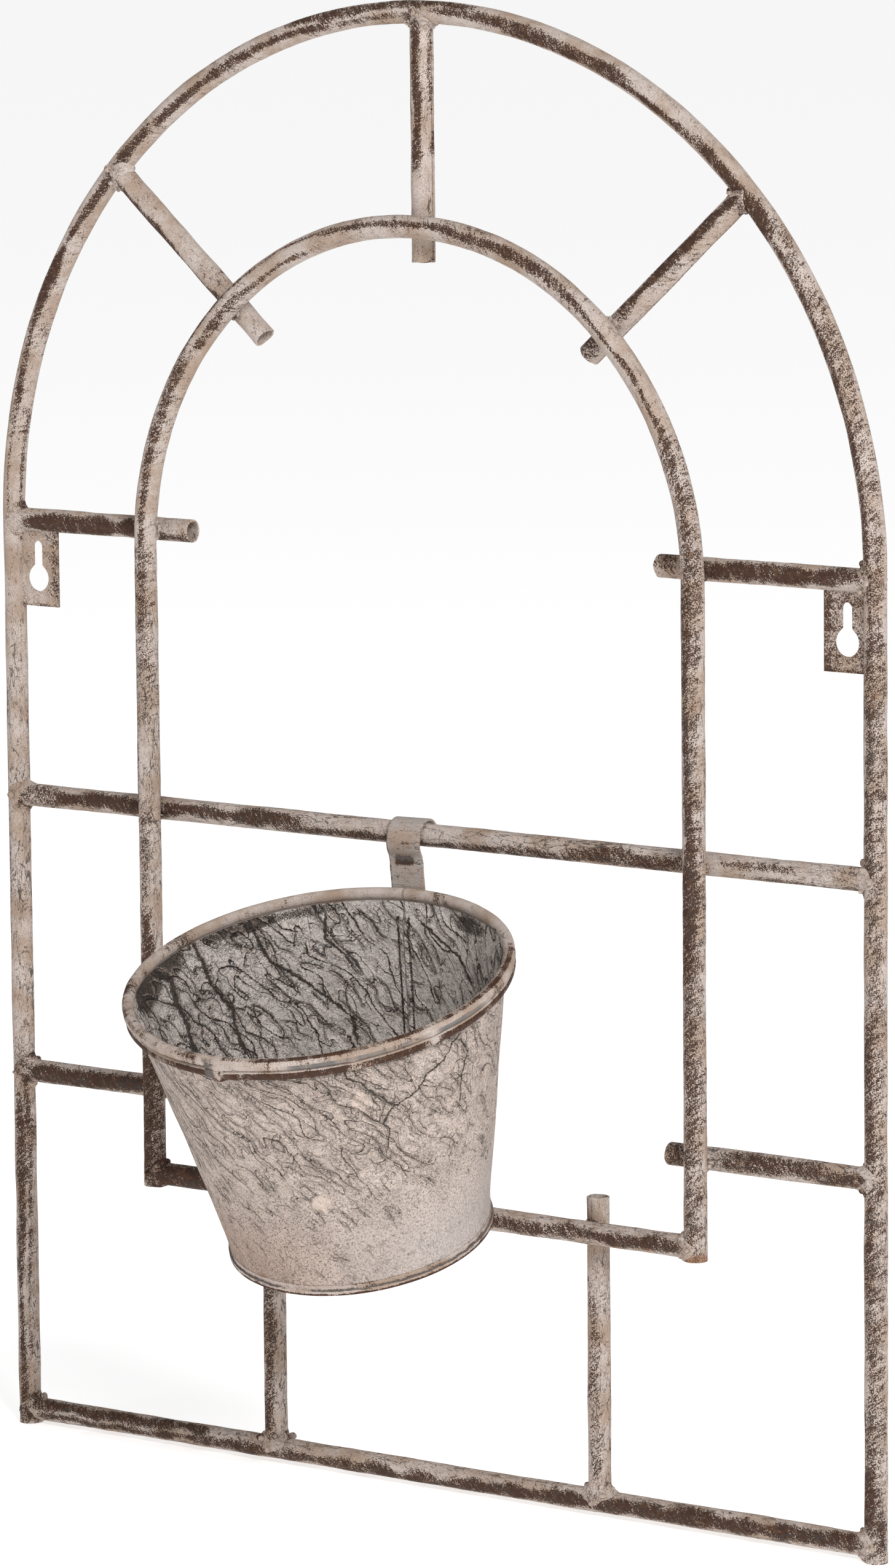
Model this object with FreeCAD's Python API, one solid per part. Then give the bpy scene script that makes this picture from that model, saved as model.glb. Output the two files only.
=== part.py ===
import FreeCAD, Part
import math
import os

# Wall rack of bent steel tube in the shape of an arched window, with a sheet metal plant pot
# hooked over its crossbar. Millimetres, +Z up, +Y towards the wall. The origin is midway between
# the two keyholes, in the middle plane of the outer frame. Heights below are measured from the
# centre line of the bottom bar, and level() turns them into Z.

# Tube stock
TUBE_D = 10.0
TUBE_WALL = 1.0
OPEN_SEAM = 0.8

# Outer frame
OUTER_HALF_WIDTH = 218.0
OUTER_SPRING = 390.0
OUTER_FOOT = 6.5

# Inner frame, welded on in front of the bars
INNER_HALF_WIDTH = 138.5
INNER_SPRING = 383.0
INNER_FOOT = 5.5
TACK_GAP = 0.4

# Bars and spokes between the two frames, and how far they pass the inner frame
CROSSBAR_HEIGHT = 270.0
SHOULDER_HEIGHT = 389.0
LEFT_SHOULDER_REACH = 12.0
RIGHT_SHOULDER_REACH = 17.5
LOWER_BAR_HEIGHT = 149.5
LOWER_BAR_REACH = 14.0
SPOKE_AIM_HEIGHT = 399.5
SPOKE_ANGLE = 41.5
SPOKE_REACH = 12.5
TOP_SPOKE_REACH = 10.0
POST_OFFSET = 83.5
POST_REACH = 8.0

# Weld beads and tack welds
BEAD_RISE = 1.4
BEAD_EDGE = 0.4
BEAD_SETBACK = 1.5
BEAD_LENGTH = 4.0
TACK_R = 3.4

# Keyhole plates in the corners between the legs and the shoulder bars
PLATE_T = 1.5
PLATE_EDGE = 5.0
PLATE_FOOT = 6.3
PLATE_LEG_WEB = 2.25
PLATE_TOP_WEB = 4.0
HOLE_R = 5.75
SLOT_W = 5.0
SLOT_RISE = 16.0

# Pot
RIM_R = 80.5
BASE_R = 55.2
POT_H = 119.2
SHEET = 0.8
RIM_OVERHANG = 3.3
UPPER_ROLL_R = 2.5
LOWER_ROLL_R = 2.2
LOWER_ROLL_DROP = 4.5
LOWER_ROLL_INSET = 0.4
RIM_WIRE_R = 1.6
RIM_WIRE_GAP = 0.1
RIM_COVER = 0.8
BASE_RING_T = 1.6
BASE_RING_H = 4.5
BASE_RING_INSIDE = 2.0
BASE_RECESS = 3.0
WALL_FOOT_RISE = 0.8
SEAM_W = 4.0
SEAM_RISE = 0.9
SEAM_SINK = 0.4
SEAM_TOP_DROP = 10.0
SEAM_FOOT_RISE = 8.0

# Hook strap soldered to the back of the pot
STRAP_W = 15.5
STRAP_T = 1.0
STRAP_FOOT_DROP = 34.0
STRAP_JOG_DROP = 4.5
STRAP_RIM_GAP = 0.3
STRAP_LEAN = 7.6
LOOP_SLACK = 3.0
LOOP_GAP = 0.6
LOOP_RISE = 16.1
LOOP_START_ANGLE = 25.0
TAIL_LENGTH = 6.0

# How the pot hangs
HOOK_X = -8.7
HANG_YAW = 8.4
WALL_GAP = 0.5
SILL_GAP = 0.3

V = FreeCAD.Vector
ACROSS = V(1, 0, 0)
TO_WALL = V(0, 1, 0)
UP = V(0, 0, 1)
FULL_TURN = 360.0
HALF_TURN = 180.0

TUBE_R = TUBE_D / 2
INNER_Y = -(TUBE_D + TACK_GAP)
KEYHOLE_HEIGHT = SHOULDER_HEIGHT - TUBE_R - PLATE_TOP_WEB - SLOT_RISE
KEYHOLE_X = OUTER_HALF_WIDTH - TUBE_R - PLATE_LEG_WEB - HOLE_R
SPOKE_SLOPE = math.radians(SPOKE_ANGLE)

RIM_H = UPPER_ROLL_R + LOWER_ROLL_DROP + LOWER_ROLL_R
LOOP_OUTER_R = TUBE_R + LOOP_SLACK + STRAP_T
LOOP_START = math.radians(LOOP_START_ANGLE)
STRAP_RISE = RIM_H + LOOP_RISE - LOOP_OUTER_R * math.sin(LOOP_START)
STRAP_RUN = STRAP_RISE * math.tan(math.radians(STRAP_LEAN))
LOOP_BACK = STRAP_RIM_GAP + STRAP_RUN + LOOP_OUTER_R * math.cos(LOOP_START)
WALL_TOP_R = RIM_R - RIM_OVERHANG
WALL_FOOT_R = BASE_R - BASE_RING_T
WALL_TOP_Z = -(UPPER_ROLL_R + RIM_WIRE_R + RIM_WIRE_GAP + RIM_COVER)
WALL_FOOT_Z = WALL_FOOT_RISE - POT_H
WALL_TAPER = (WALL_TOP_R - WALL_FOOT_R) / (WALL_TOP_Z - WALL_FOOT_Z)
WALL_SLOPE = math.degrees(math.atan(WALL_TAPER))


def hang_tilt():
    """Forward lean, in degrees, that brings the back of the pot's base to the wall."""
    back = LOOP_BACK + RIM_R - BASE_R
    down = LOOP_RISE + POT_H
    reach = math.hypot(back, down)
    to_wall = (TUBE_R - WALL_GAP) / math.cos(math.radians(HANG_YAW))
    return math.degrees(math.atan2(back, down) + math.asin(to_wall / reach))


HANG_TILT = hang_tilt()
HANG_TURN = FreeCAD.Rotation(UP, HANG_YAW).multiply(FreeCAD.Rotation(ACROSS, HANG_TILT))
LOOP_CENTRE = V(0, RIM_R + LOOP_BACK, LOOP_RISE)


def level(height):
    return height - KEYHOLE_HEIGHT


HANG_POINT = V(HOOK_X, 0, level(CROSSBAR_HEIGHT) - LOOP_SLACK + LOOP_GAP)


def hung(point):
    """A point of the pot's own frame, where the pot hangs."""
    return HANG_TURN.multVec(point - LOOP_CENTRE) + HANG_POINT


def sill_z():
    """Z of the inner frame's bottom bar, which lies just under the pot's tilted base."""
    axis = HANG_TURN.multVec(UP)
    base = hung(V(0, 0, -POT_H))
    below = TUBE_R + SILL_GAP
    drop = (axis.y * (INNER_Y - base.y) + abs(axis.x) * BASE_R + below) / axis.z
    return base.z - drop


SILL_Z = sill_z()


def rod(start, end, radius=TUBE_R):
    return Part.makeCylinder(radius, (end - start).Length, start, end - start)


def straight_tube(start, end, headers, seam=None):
    """A tube coped to its headers. A rolled tube has an open seam on the side that seam points to."""
    tube = rod(start, end).cut(rod(start, end, TUBE_R - TUBE_WALL))
    if seam is not None:
        along = (end - start).normalize()
        side = along.cross(seam).normalize()
        corner = start - side * (OPEN_SEAM / 2)
        outline = [corner, corner + side * OPEN_SEAM]
        outline += [point + seam * TUBE_D for point in reversed(outline)]
        slit = Part.Face(Part.makePolygon(outline + outline[:1])).extrude(end - start)
        tube = tube.cut(slit)
    for header in headers:
        tube = tube.cut(header)
    return tube


def arch_rod(half_width, spring_z, foot_z, plane_y, radius):
    """A solid arch: two legs and a half ring."""
    left = V(-half_width, plane_y, spring_z)
    section = Part.Face(Part.Wire(Part.makeCircle(radius, left, UP)))
    leg_run = V(0, 0, foot_z - spring_z)
    left_leg = section.extrude(leg_run)
    bow = section.revolve(V(0, plane_y, spring_z), TO_WALL, HALF_TURN)
    right_leg = left_leg.translated(V(2 * half_width, 0, 0))
    return bow.fuse([left_leg, right_leg]).removeSplitter()


def tee_bead(joint, towards, header, bar):
    """A weld bead round a bar where it meets its header tube."""
    along = V(towards).normalize()
    length = TUBE_R + BEAD_LENGTH - BEAD_SETBACK
    foot = joint + along * BEAD_SETBACK
    cone = Part.makeCone(TUBE_R + BEAD_RISE, TUBE_R + BEAD_EDGE, length, foot, along)
    return cone.cut(header).cut(bar)


def tack_weld(x, z, front, behind):
    """Weld metal between a tube of the inner frame and the bar behind it."""
    plug = rod(V(x, INNER_Y, z), V(x, 0, z), TACK_R)
    return plug.cut(front).cut(behind)


def keyhole_plate(side, leg, shoulder):
    """A plate in the corner of a leg and its shoulder bar, with a keyhole for a screw."""
    inner_x = KEYHOLE_X - HOLE_R - PLATE_EDGE
    foot = HOLE_R + PLATE_FOOT
    width = OUTER_HALF_WIDTH - inner_x
    height = foot + SLOT_RISE + PLATE_TOP_WEB + TUBE_R
    corner = V(inner_x if side > 0 else -OUTER_HALF_WIDTH, -PLATE_T / 2, -foot)
    plate = Part.makeBox(width, PLATE_T, height, corner)
    front = V(side * KEYHOLE_X, -PLATE_T, 0)
    hole = Part.makeCylinder(HOLE_R, 2 * PLATE_T, front, TO_WALL)
    slot_end = SLOT_RISE - SLOT_W / 2
    slot = Part.makeBox(SLOT_W, 2 * PLATE_T, slot_end, front - V(SLOT_W / 2, 0, 0))
    slot_top = Part.makeCylinder(SLOT_W / 2, 2 * PLATE_T, front + V(0, 0, slot_end), TO_WALL)
    return plate.cut(hole).cut(slot).cut(slot_top).cut(leg).cut(shoulder)


def build_frame():
    nodes = {}
    foot_z = level(-OUTER_FOOT)
    spring_z = level(OUTER_SPRING)
    outer = arch_rod(OUTER_HALF_WIDTH, spring_z, foot_z, 0, TUBE_R)
    outer_bore = arch_rod(OUTER_HALF_WIDTH, spring_z, foot_z, 0, TUBE_R - TUBE_WALL)
    nodes["outer_arch_tube"] = outer.cut(outer_bore)
    inner_foot_z = SILL_Z - INNER_FOOT
    inner_spring_z = level(INNER_SPRING)
    inner = arch_rod(INNER_HALF_WIDTH, inner_spring_z, inner_foot_z, INNER_Y, TUBE_R)
    inner_bore = arch_rod(INNER_HALF_WIDTH, inner_spring_z, inner_foot_z, INNER_Y, TUBE_R - TUBE_WALL)
    nodes["inner_arch_tube"] = inner.cut(inner_bore)

    tacks = []

    def span(name, half_width, plane_y, z, header):
        ends = [V(-half_width, plane_y, z), V(half_width, plane_y, z)]
        nodes[name] = straight_tube(ends[0], ends[1], [header])
        bar = rod(ends[0], ends[1])
        nodes[name + "_left_weld"] = tee_bead(ends[0], ACROSS, header, bar)
        nodes[name + "_right_weld"] = tee_bead(ends[1], -ACROSS, header, bar)
        return bar

    bottom = span("outer_bottom_bar", OUTER_HALF_WIDTH, 0, level(0), outer)
    sill = span("inner_bottom_bar", INNER_HALF_WIDTH, INNER_Y, SILL_Z, inner)
    crossbar = span("crossbar", OUTER_HALF_WIDTH, 0, level(CROSSBAR_HEIGHT), outer)

    def stub(name, joint, end, header, seam):
        """A rolled tube from its header to its free end past the inner frame."""
        nodes[name] = straight_tube(joint, end, [header], seam)
        bar = rod(joint, end)
        nodes[name + "_weld"] = tee_bead(joint, end - joint, header, bar)
        return bar

    sides = ((-1, "left", LEFT_SHOULDER_REACH), (1, "right", RIGHT_SHOULDER_REACH))
    for side, word, shoulder_reach in sides:
        shoulder_z = level(SHOULDER_HEIGHT)
        joint = V(side * OUTER_HALF_WIDTH, 0, shoulder_z)
        end = V(side * (INNER_HALF_WIDTH - TUBE_R - shoulder_reach), 0, shoulder_z)
        shoulder = stub(word + "_shoulder_bar", joint, end, outer, -UP)
        tacks.append(tack_weld(side * INNER_HALF_WIDTH, shoulder_z, inner, shoulder))
        plate = keyhole_plate(side, outer, shoulder)
        nodes[word + "_hanger_plate"] = plate.cut(nodes[word + "_shoulder_bar_weld"])

        lower_z = level(LOWER_BAR_HEIGHT)
        joint = V(side * OUTER_HALF_WIDTH, 0, lower_z)
        end = V(side * (INNER_HALF_WIDTH - TUBE_R - LOWER_BAR_REACH), 0, lower_z)
        lower = stub(word + "_lower_bar", joint, end, outer, -UP)
        tacks.append(tack_weld(side * INNER_HALF_WIDTH, lower_z, inner, lower))

        tacks.append(tack_weld(side * INNER_HALF_WIDTH, level(CROSSBAR_HEIGHT), inner, crossbar))

        joint = V(side * POST_OFFSET, 0, level(0))
        end = V(side * POST_OFFSET, 0, SILL_Z + TUBE_R + POST_REACH)
        post = stub(word + "_foot_post", joint, end, bottom, -ACROSS)
        tacks.append(tack_weld(side * POST_OFFSET, SILL_Z, sill, post))

        aim = V(0, 0, level(SPOKE_AIM_HEIGHT))
        out = V(side * math.cos(SPOKE_SLOPE), 0, math.sin(SPOKE_SLOPE))
        meet = ring_distance(INNER_HALF_WIDTH, INNER_SPRING)
        joint = aim + out * ring_distance(OUTER_HALF_WIDTH, OUTER_SPRING)
        end = aim + out * (meet - TUBE_R - SPOKE_REACH)
        spoke = stub(word + "_spoke", joint, end, outer, -UP)
        tacks.append(tack_weld(out.x * meet, aim.z + out.z * meet, inner, spoke))

    joint = V(0, 0, level(OUTER_SPRING + OUTER_HALF_WIDTH))
    crown_z = level(INNER_SPRING + INNER_HALF_WIDTH)
    end = V(0, 0, crown_z - TUBE_R - TOP_SPOKE_REACH)
    top = stub("top_spoke", joint, end, outer, ACROSS)
    tacks.append(tack_weld(0, crown_z, inner, top))

    nodes["frame_tack_welds"] = Part.makeCompound(tacks)
    return nodes


def ring_distance(half_width, spring):
    """Distance along a spoke's line from the point it aims at to the middle of an arch."""
    rise = SPOKE_AIM_HEIGHT - spring
    along = rise * math.sin(SPOKE_SLOPE)
    return math.sqrt(half_width ** 2 - rise ** 2 + along ** 2) - along


def spun(points):
    """A ring or disc turned about the pot's axis from an outline of radius and height pairs."""
    outline = [V(radius, 0, height) for radius, height in points]
    return Part.Face(Part.makePolygon(outline + outline[:1])).revolve(V(), UP, FULL_TURN)


def roll(radius, height, thickness):
    return Part.makeTorus(radius, thickness, V(0, 0, height))


def wall_radius(z):
    return WALL_TOP_R + (z - WALL_TOP_Z) * WALL_TAPER


def build_pot():
    nodes = {}
    wall = spun([
        (WALL_FOOT_R, WALL_FOOT_Z),
        (WALL_TOP_R, WALL_TOP_Z),
        (WALL_TOP_R - SHEET, WALL_TOP_Z),
        (WALL_FOOT_R - SHEET, WALL_FOOT_Z),
    ])
    seam_top = -SEAM_TOP_DROP
    seam_foot = SEAM_FOOT_RISE - POT_H
    seam_length = (seam_top - seam_foot) / math.cos(math.radians(WALL_SLOPE))
    seam = Part.makeBox(SEAM_W, SEAM_RISE + SEAM_SINK, seam_length, V(-SEAM_W / 2, -SEAM_RISE, 0))
    seam.rotate(V(), ACROSS, -WALL_SLOPE)
    seam.translate(V(0, wall_radius(seam_foot) - SHEET, seam_foot))
    wall = wall.fuse(seam)
    nodes["pot_wall"] = wall

    upper_r = RIM_R - UPPER_ROLL_R
    upper_z = -UPPER_ROLL_R
    lower_r = upper_r - LOWER_ROLL_INSET
    lower_z = upper_z - LOWER_ROLL_DROP
    neck = LOWER_ROLL_R / 2
    web = spun([
        (lower_r - neck, lower_z),
        (lower_r + neck, lower_z),
        (upper_r + neck, upper_z),
        (upper_r - neck, upper_z),
    ])
    band = roll(upper_r, upper_z, UPPER_ROLL_R).fuse([roll(lower_r, lower_z, LOWER_ROLL_R), web])
    band = band.cut(roll(upper_r, upper_z, RIM_WIRE_R + RIM_WIRE_GAP))
    within_wall = spun([
        (0, WALL_FOOT_Z),
        (WALL_FOOT_R, WALL_FOOT_Z),
        (WALL_TOP_R, WALL_TOP_Z),
        (0, WALL_TOP_Z),
    ])
    nodes["pot_rim_band"] = band.cut(within_wall)
    nodes["pot_rim_wire"] = roll(upper_r, upper_z, RIM_WIRE_R)

    ring_inner_r = WALL_FOOT_R - SHEET - BASE_RING_INSIDE
    floor_z = BASE_RECESS - POT_H
    base = spun([
        (0, floor_z),
        (ring_inner_r, floor_z),
        (ring_inner_r, -POT_H),
        (BASE_R, -POT_H),
        (BASE_R, BASE_RING_H - POT_H),
        (ring_inner_r, BASE_RING_H - POT_H),
        (ring_inner_r, floor_z + SHEET),
        (0, floor_z + SHEET),
    ])
    nodes["pot_base"] = base.cut(wall)
    nodes["pot_hook"] = hook_strap()
    for shape in nodes.values():
        shape.translate(-LOOP_CENTRE)
        shape.Placement = FreeCAD.Placement(HANG_POINT, HANG_TURN).multiply(shape.Placement)
    return nodes


def hook_strap():
    """A strap from the pot's back wall, out round the rim, up and over in an open loop."""
    foot_z = -STRAP_FOOT_DROP
    jog_z = -RIM_H - STRAP_JOG_DROP
    foot = V(0, wall_radius(foot_z), foot_z)
    jog = V(0, wall_radius(jog_z), jog_z)
    behind_rim = V(0, RIM_R + STRAP_RIM_GAP, -RIM_H)
    across = math.cos(LOOP_START) * LOOP_OUTER_R
    drop = math.sin(LOOP_START) * LOOP_OUTER_R
    kink = LOOP_CENTRE - V(0, across, drop)
    crown = LOOP_CENTRE + UP * LOOP_OUTER_R
    back = LOOP_CENTRE + TO_WALL * LOOP_OUTER_R
    tail = back - UP * TAIL_LENGTH
    path = Part.Wire([
        Part.makeLine(foot, jog),
        Part.makeLine(jog, behind_rim),
        Part.makeLine(behind_rim, kink),
        Part.Arc(kink, crown, back).toShape(),
        Part.makeLine(back, tail),
    ])
    inside = path.makeOffset2D(STRAP_T, 2, False, True)
    ends = [edge_ends(path), edge_ends(inside)]
    if (ends[0][0] - ends[1][0]).Length > (ends[0][0] - ends[1][1]).Length:
        ends[1].reverse()
    caps = [Part.makeLine(ends[0][0], ends[1][0]), Part.makeLine(ends[0][1], ends[1][1])]
    outline = Part.Wire(Part.__sortEdges__(path.Edges + inside.Edges + caps))
    strap = Part.Face(outline).extrude(ACROSS * STRAP_W)
    strap.translate(ACROSS * (-STRAP_W / 2))
    return strap


def edge_ends(wire):
    """The two free ends of an open wire."""
    points = wire.OrderedVertexes
    return [points[0].Point, points[-1].Point]


def main():
    os.makedirs("parts", exist_ok=True)
    nodes = build_frame()
    nodes.update(build_pot())
    for name, shape in nodes.items():
        shape.exportStep(os.path.join("parts", name + ".step"))
    print("pot lean in degrees", round(HANG_TILT, 2))
    print("inner sill above the bottom bar", round(SILL_Z - level(0), 2))
    for name, shape in nodes.items():
        print(name, len(shape.Solids), shape.isValid(), round(shape.Volume, 1))


main()
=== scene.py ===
import math

import bpy
import numpy as np
from bpy.props import FloatProperty, FloatVectorProperty, IntProperty, PointerProperty
from mathutils import Matrix, Vector


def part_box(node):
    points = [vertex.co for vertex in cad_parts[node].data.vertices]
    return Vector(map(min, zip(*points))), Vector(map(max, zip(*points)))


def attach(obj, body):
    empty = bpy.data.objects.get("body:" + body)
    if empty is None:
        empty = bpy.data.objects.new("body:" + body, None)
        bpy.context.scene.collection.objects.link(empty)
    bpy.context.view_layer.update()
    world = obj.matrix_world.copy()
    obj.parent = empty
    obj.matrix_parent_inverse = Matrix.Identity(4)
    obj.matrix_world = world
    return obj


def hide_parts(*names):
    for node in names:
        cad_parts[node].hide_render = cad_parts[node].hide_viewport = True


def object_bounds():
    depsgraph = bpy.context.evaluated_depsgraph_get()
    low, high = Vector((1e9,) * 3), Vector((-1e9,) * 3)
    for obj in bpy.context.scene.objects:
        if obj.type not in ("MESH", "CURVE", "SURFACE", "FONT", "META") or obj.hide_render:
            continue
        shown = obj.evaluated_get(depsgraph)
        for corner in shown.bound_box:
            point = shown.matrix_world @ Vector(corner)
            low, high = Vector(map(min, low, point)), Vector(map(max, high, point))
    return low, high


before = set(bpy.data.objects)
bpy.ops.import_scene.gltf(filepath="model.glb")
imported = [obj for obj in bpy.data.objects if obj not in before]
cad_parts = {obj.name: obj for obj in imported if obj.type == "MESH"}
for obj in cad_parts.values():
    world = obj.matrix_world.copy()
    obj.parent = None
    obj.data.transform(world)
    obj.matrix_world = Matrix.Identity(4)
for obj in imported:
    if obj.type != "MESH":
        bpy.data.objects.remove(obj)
CAD_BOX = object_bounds()

bl_info = {
    "name": "Wall plant pot rack",
    "version": (1, 0, 0),
    "blender": (4, 5, 0),
    "location": "3D View > Sidebar > Pot rack",
    "description": "Builds an arched wall rack of worn, whitewashed tube with a hooked sheet metal pot",
    "category": "Add Mesh",
}

MM = 0.001
FRONT = np.array([0.0, -1.0, 0.0])
UP = np.array([0.0, 0.0, 1.0])
ACROSS = np.array([1.0, 0.0, 0.0])
TURN = 2 * math.pi
FULL_CIRCLE = 360

# Places read from the CAD nodes


def middle(node):
    """Middle of a CAD node's box."""
    low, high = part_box(node)
    return np.array((low + high) / 2)


def reach(node, end, axis):
    """How far a CAD node goes along an axis, at its low or its high end."""
    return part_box(node)[end][axis]


LOW, HIGH = 0, 1
X, Y, Z = 0, 1, 2
TUBE_R = (reach("outer_arch_tube", HIGH, Y) - reach("outer_arch_tube", LOW, Y)) / 2
OUTER_HALF = reach("outer_arch_tube", HIGH, X) - TUBE_R
OUTER_SPRING = reach("outer_arch_tube", HIGH, Z) - TUBE_R - OUTER_HALF
OUTER_FOOT = reach("outer_arch_tube", LOW, Z)
INNER_HALF = reach("inner_arch_tube", HIGH, X) - TUBE_R
INNER_SPRING = reach("inner_arch_tube", HIGH, Z) - TUBE_R - INNER_HALF
INNER_FOOT = reach("inner_arch_tube", LOW, Z)
INNER_Y = middle("inner_arch_tube")[Y]
BOTTOM_Z = middle("outer_bottom_bar")[Z]
SILL_Z = middle("inner_bottom_bar")[Z]
CROSSBAR_Z = middle("crossbar")[Z]
SHOULDER_Z = middle("left_shoulder_bar")[Z]
LOWER_Z = middle("left_lower_bar")[Z]
POST_X = middle("right_foot_post")[X]

# The spokes aim at a point above the bottom bar's middle
SPOKE_AIM_RISE = 399.5 * MM
SPOKE_ANGLE = math.radians(41.5)
SPOKE_REACH = 12.5 * MM

# Wear on the tubes: where along the tube it starts and ends, in shares of its length, the angle round
# the tube it faces, in degrees from the front towards the outside or the top, its half width and strength
TUBE_WEAR = {
    "outer_arch_tube": (
        (0.000, 0.100, -4, 22, 0.80), (0.020, 0.090, -52, 12, 0.56), (0.085, 0.105, -48, 18, 0.78),
        (0.106, 0.180, 44, 9, 0.66), (0.262, 0.300, -84, 20, 0.60), (0.268, 0.300, -8, 11, 0.62),
        (0.298, 0.330, -2, 16, 0.80), (0.328, 0.352, -4, 30, 1.05), (0.352, 0.400, -6, 20, 0.92),
        (0.400, 0.470, -16, 20, 0.90), (0.455, 0.520, 48, 30, 0.82), (0.470, 0.500, -20, 14, 0.62),
        (0.505, 0.575, 6, 24, 0.84), (0.530, 0.600, -22, 22, 0.95), (0.600, 0.635, -8, 32, 1.00),
        (0.630, 0.670, 50, 30, 0.46), (0.636, 0.730, -14, 20, 0.84), (0.725, 0.815, -4, 24, 0.70),
        (0.640, 1.000, 24, 62, 0.45), (0.850, 0.925, -4, 26, 0.78), (0.920, 0.985, 10, 30, 0.60),
        (0.972, 0.992, 6, 36, 0.86), (0.985, 1.000, 70, 30, 0.70),
    ),
    "inner_arch_tube": (
        (0.00, 0.12, 6, 40, 0.92), (0.00, 0.05, -60, 40, 0.66), (0.10, 0.17, 0, 40, 0.44),
        (0.16, 0.28, 40, 10, 0.60), (0.20, 0.28, -20, 60, 0.36), (0.24, 0.30, -6, 22, 0.70),
        (0.28, 0.37, -6, 28, 0.72), (0.36, 0.47, 34, 9, 0.78), (0.37, 0.45, -40, 16, 0.70),
        (0.455, 0.52, 20, 16, 0.80), (0.51, 0.58, 22, 20, 0.86), (0.57, 0.64, 16, 18, 0.80),
        (0.63, 0.73, 10, 18, 0.76), (0.66, 1.00, 26, 60, 0.45), (0.72, 0.86, 4, 26, 0.80),
        (0.80, 0.885, 4, 34, 0.92), (0.88, 1.00, 8, 34, 0.66), (0.93, 1.00, 60, 30, 0.40),
    ),
    "outer_bottom_bar": (
        (0.01, 0.23, 34, 26, 0.96), (0.02, 0.25, -28, 16, 0.88), (0.22, 0.46, -20, 30, 0.84),
        (0.42, 0.60, -20, 28, 0.94), (0.52, 0.82, -10, 34, 1.04), (0.78, 0.99, 8, 40, 0.96),
    ),
    "inner_bottom_bar": (
        (0.00, 0.26, -2, 62, 1.05), (0.24, 0.70, 0, 40, 0.80), (0.66, 0.84, -6, 34, 0.80),
        (0.80, 0.99, -4, 42, 0.95),
    ),
    "crossbar": (
        (0.01, 0.06, 0, 50, 0.55), (0.05, 0.22, 0, 34, 1.00), (0.20, 0.36, 6, 28, 0.92),
        (0.33, 0.54, -34, 22, 0.76), (0.54, 0.72, -34, 26, 0.80), (0.66, 0.80, -16, 36, 0.84),
        (0.84, 0.92, 20, 18, 0.70), (0.86, 0.99, -50, 14, 0.62),
    ),
    "left_shoulder_bar": ((0.10, 0.76, -10, 46, 1.08), (0.80, 1.00, -38, 30, 0.90)),
    "right_shoulder_bar": ((0.00, 0.10, 40, 60, 0.80), (0.22, 0.90, 4, 34, 1.00), (0.80, 0.97, 30, 46, 0.84)),
    "left_lower_bar": ((0.06, 0.98, -2, 42, 1.08),),
    "right_lower_bar": ((0.00, 0.15, 10, 60, 0.78), (0.28, 0.78, 10, 46, 0.90), (0.74, 0.99, -10, 46, 0.84)),
    "left_foot_post": ((0.02, 0.98, 2, 32, 0.70), (0.30, 0.90, 40, 18, 0.80)),
    "right_foot_post": ((0.30, 0.70, 0, 30, 0.48), (0.06, 0.30, -20, 34, 0.50)),
    "left_spoke": ((0.05, 0.46, -34, 24, 0.98), (0.40, 0.82, -44, 20, 0.88)),
    "right_spoke": ((0.00, 0.12, 20, 44, 0.90), (0.22, 0.66, 26, 28, 0.96), (0.60, 0.98, 26, 32, 1.02)),
    "top_spoke": ((0.36, 0.98, -2, 26, 0.96), (0.44, 0.54, -104, 20, 1.02), (0.60, 0.98, -80, 16, 0.60)),
}


def measure(name, description, default, least, precision=4):
    """A length that a user can change."""
    return FloatProperty(
        name=name, description=description, default=default, min=least, unit="LENGTH", precision=precision)


class TubeSizes(bpy.types.PropertyGroup):
    radius: measure("Tube radius", "Outer radius of every tube", TUBE_R, 1.0 * MM)
    wall: measure("Tube wall", "Wall of the tubes at their open ends", 1.0 * MM, 0.2 * MM)
    seam: measure("Open seam", "Gap of the rolled short tubes", 0.8 * MM, 0.1 * MM)
    dent: measure("Dents", "Height of the tubes' unevenness", 0.07 * MM, 0.0, 5)
    step: measure("Step", "Length of a face along a tube", 2.0 * MM, 0.5 * MM)
    sides: IntProperty(name="Sides", description="Faces round a tube", default=40, min=8)


class WeldSizes(bpy.types.PropertyGroup):
    leg: measure("Weld leg", "How far a weld spreads from the corner of two tubes", 2.6 * MM, 0.5 * MM)
    bulge: measure("Weld bulge", "How far a weld stands out of the corner", 1.1 * MM, 0.0)
    drop: measure("Drop radius", "Radius of the drops along a weld", 1.5 * MM, 0.1 * MM)
    spacing: measure("Drop spacing", "Distance from drop to drop", 6.5 * MM, 0.5 * MM)
    tack: measure("Tack radius", "Radius of the tack welds between the frames", 3.4 * MM, 0.5 * MM)


class PotSizes(bpy.types.PropertyGroup):
    rim: measure("Rim radius", "Outer radius of the rolled rim", 80.5 * MM, 10.0 * MM)
    base: measure("Base radius", "Outer radius of the ring round the foot", 55.2 * MM, 10.0 * MM)
    height: measure("Pot height", "From the foot to the top of the rim", 119.2 * MM, 10.0 * MM)
    sheet: measure("Sheet", "Thickness of the pot's wall", 0.8 * MM, 0.1 * MM, 5)
    dent: measure("Dents", "Height of the wall's unevenness", 0.22 * MM, 0.0, 5)
    lean: FloatProperty(
        name="Lean", description="How far the pot leans out from the wall",
        default=math.radians(17.01), subtype="ANGLE")
    twist: FloatProperty(
        name="Twist", description="How far the pot hangs askew", default=math.radians(8.4), subtype="ANGLE")
    strap_width: measure("Strap width", "Width of the hook", 15.5 * MM, 1.0 * MM)
    strap: measure("Strap thickness", "Thickness of the hook", 1.0 * MM, 0.2 * MM)


def colour(name, description, default):
    """A colour that a user can change."""
    return FloatVectorProperty(
        name=name, description=description, default=default, subtype="COLOR", size=4, min=0.0, max=1.0)


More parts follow.
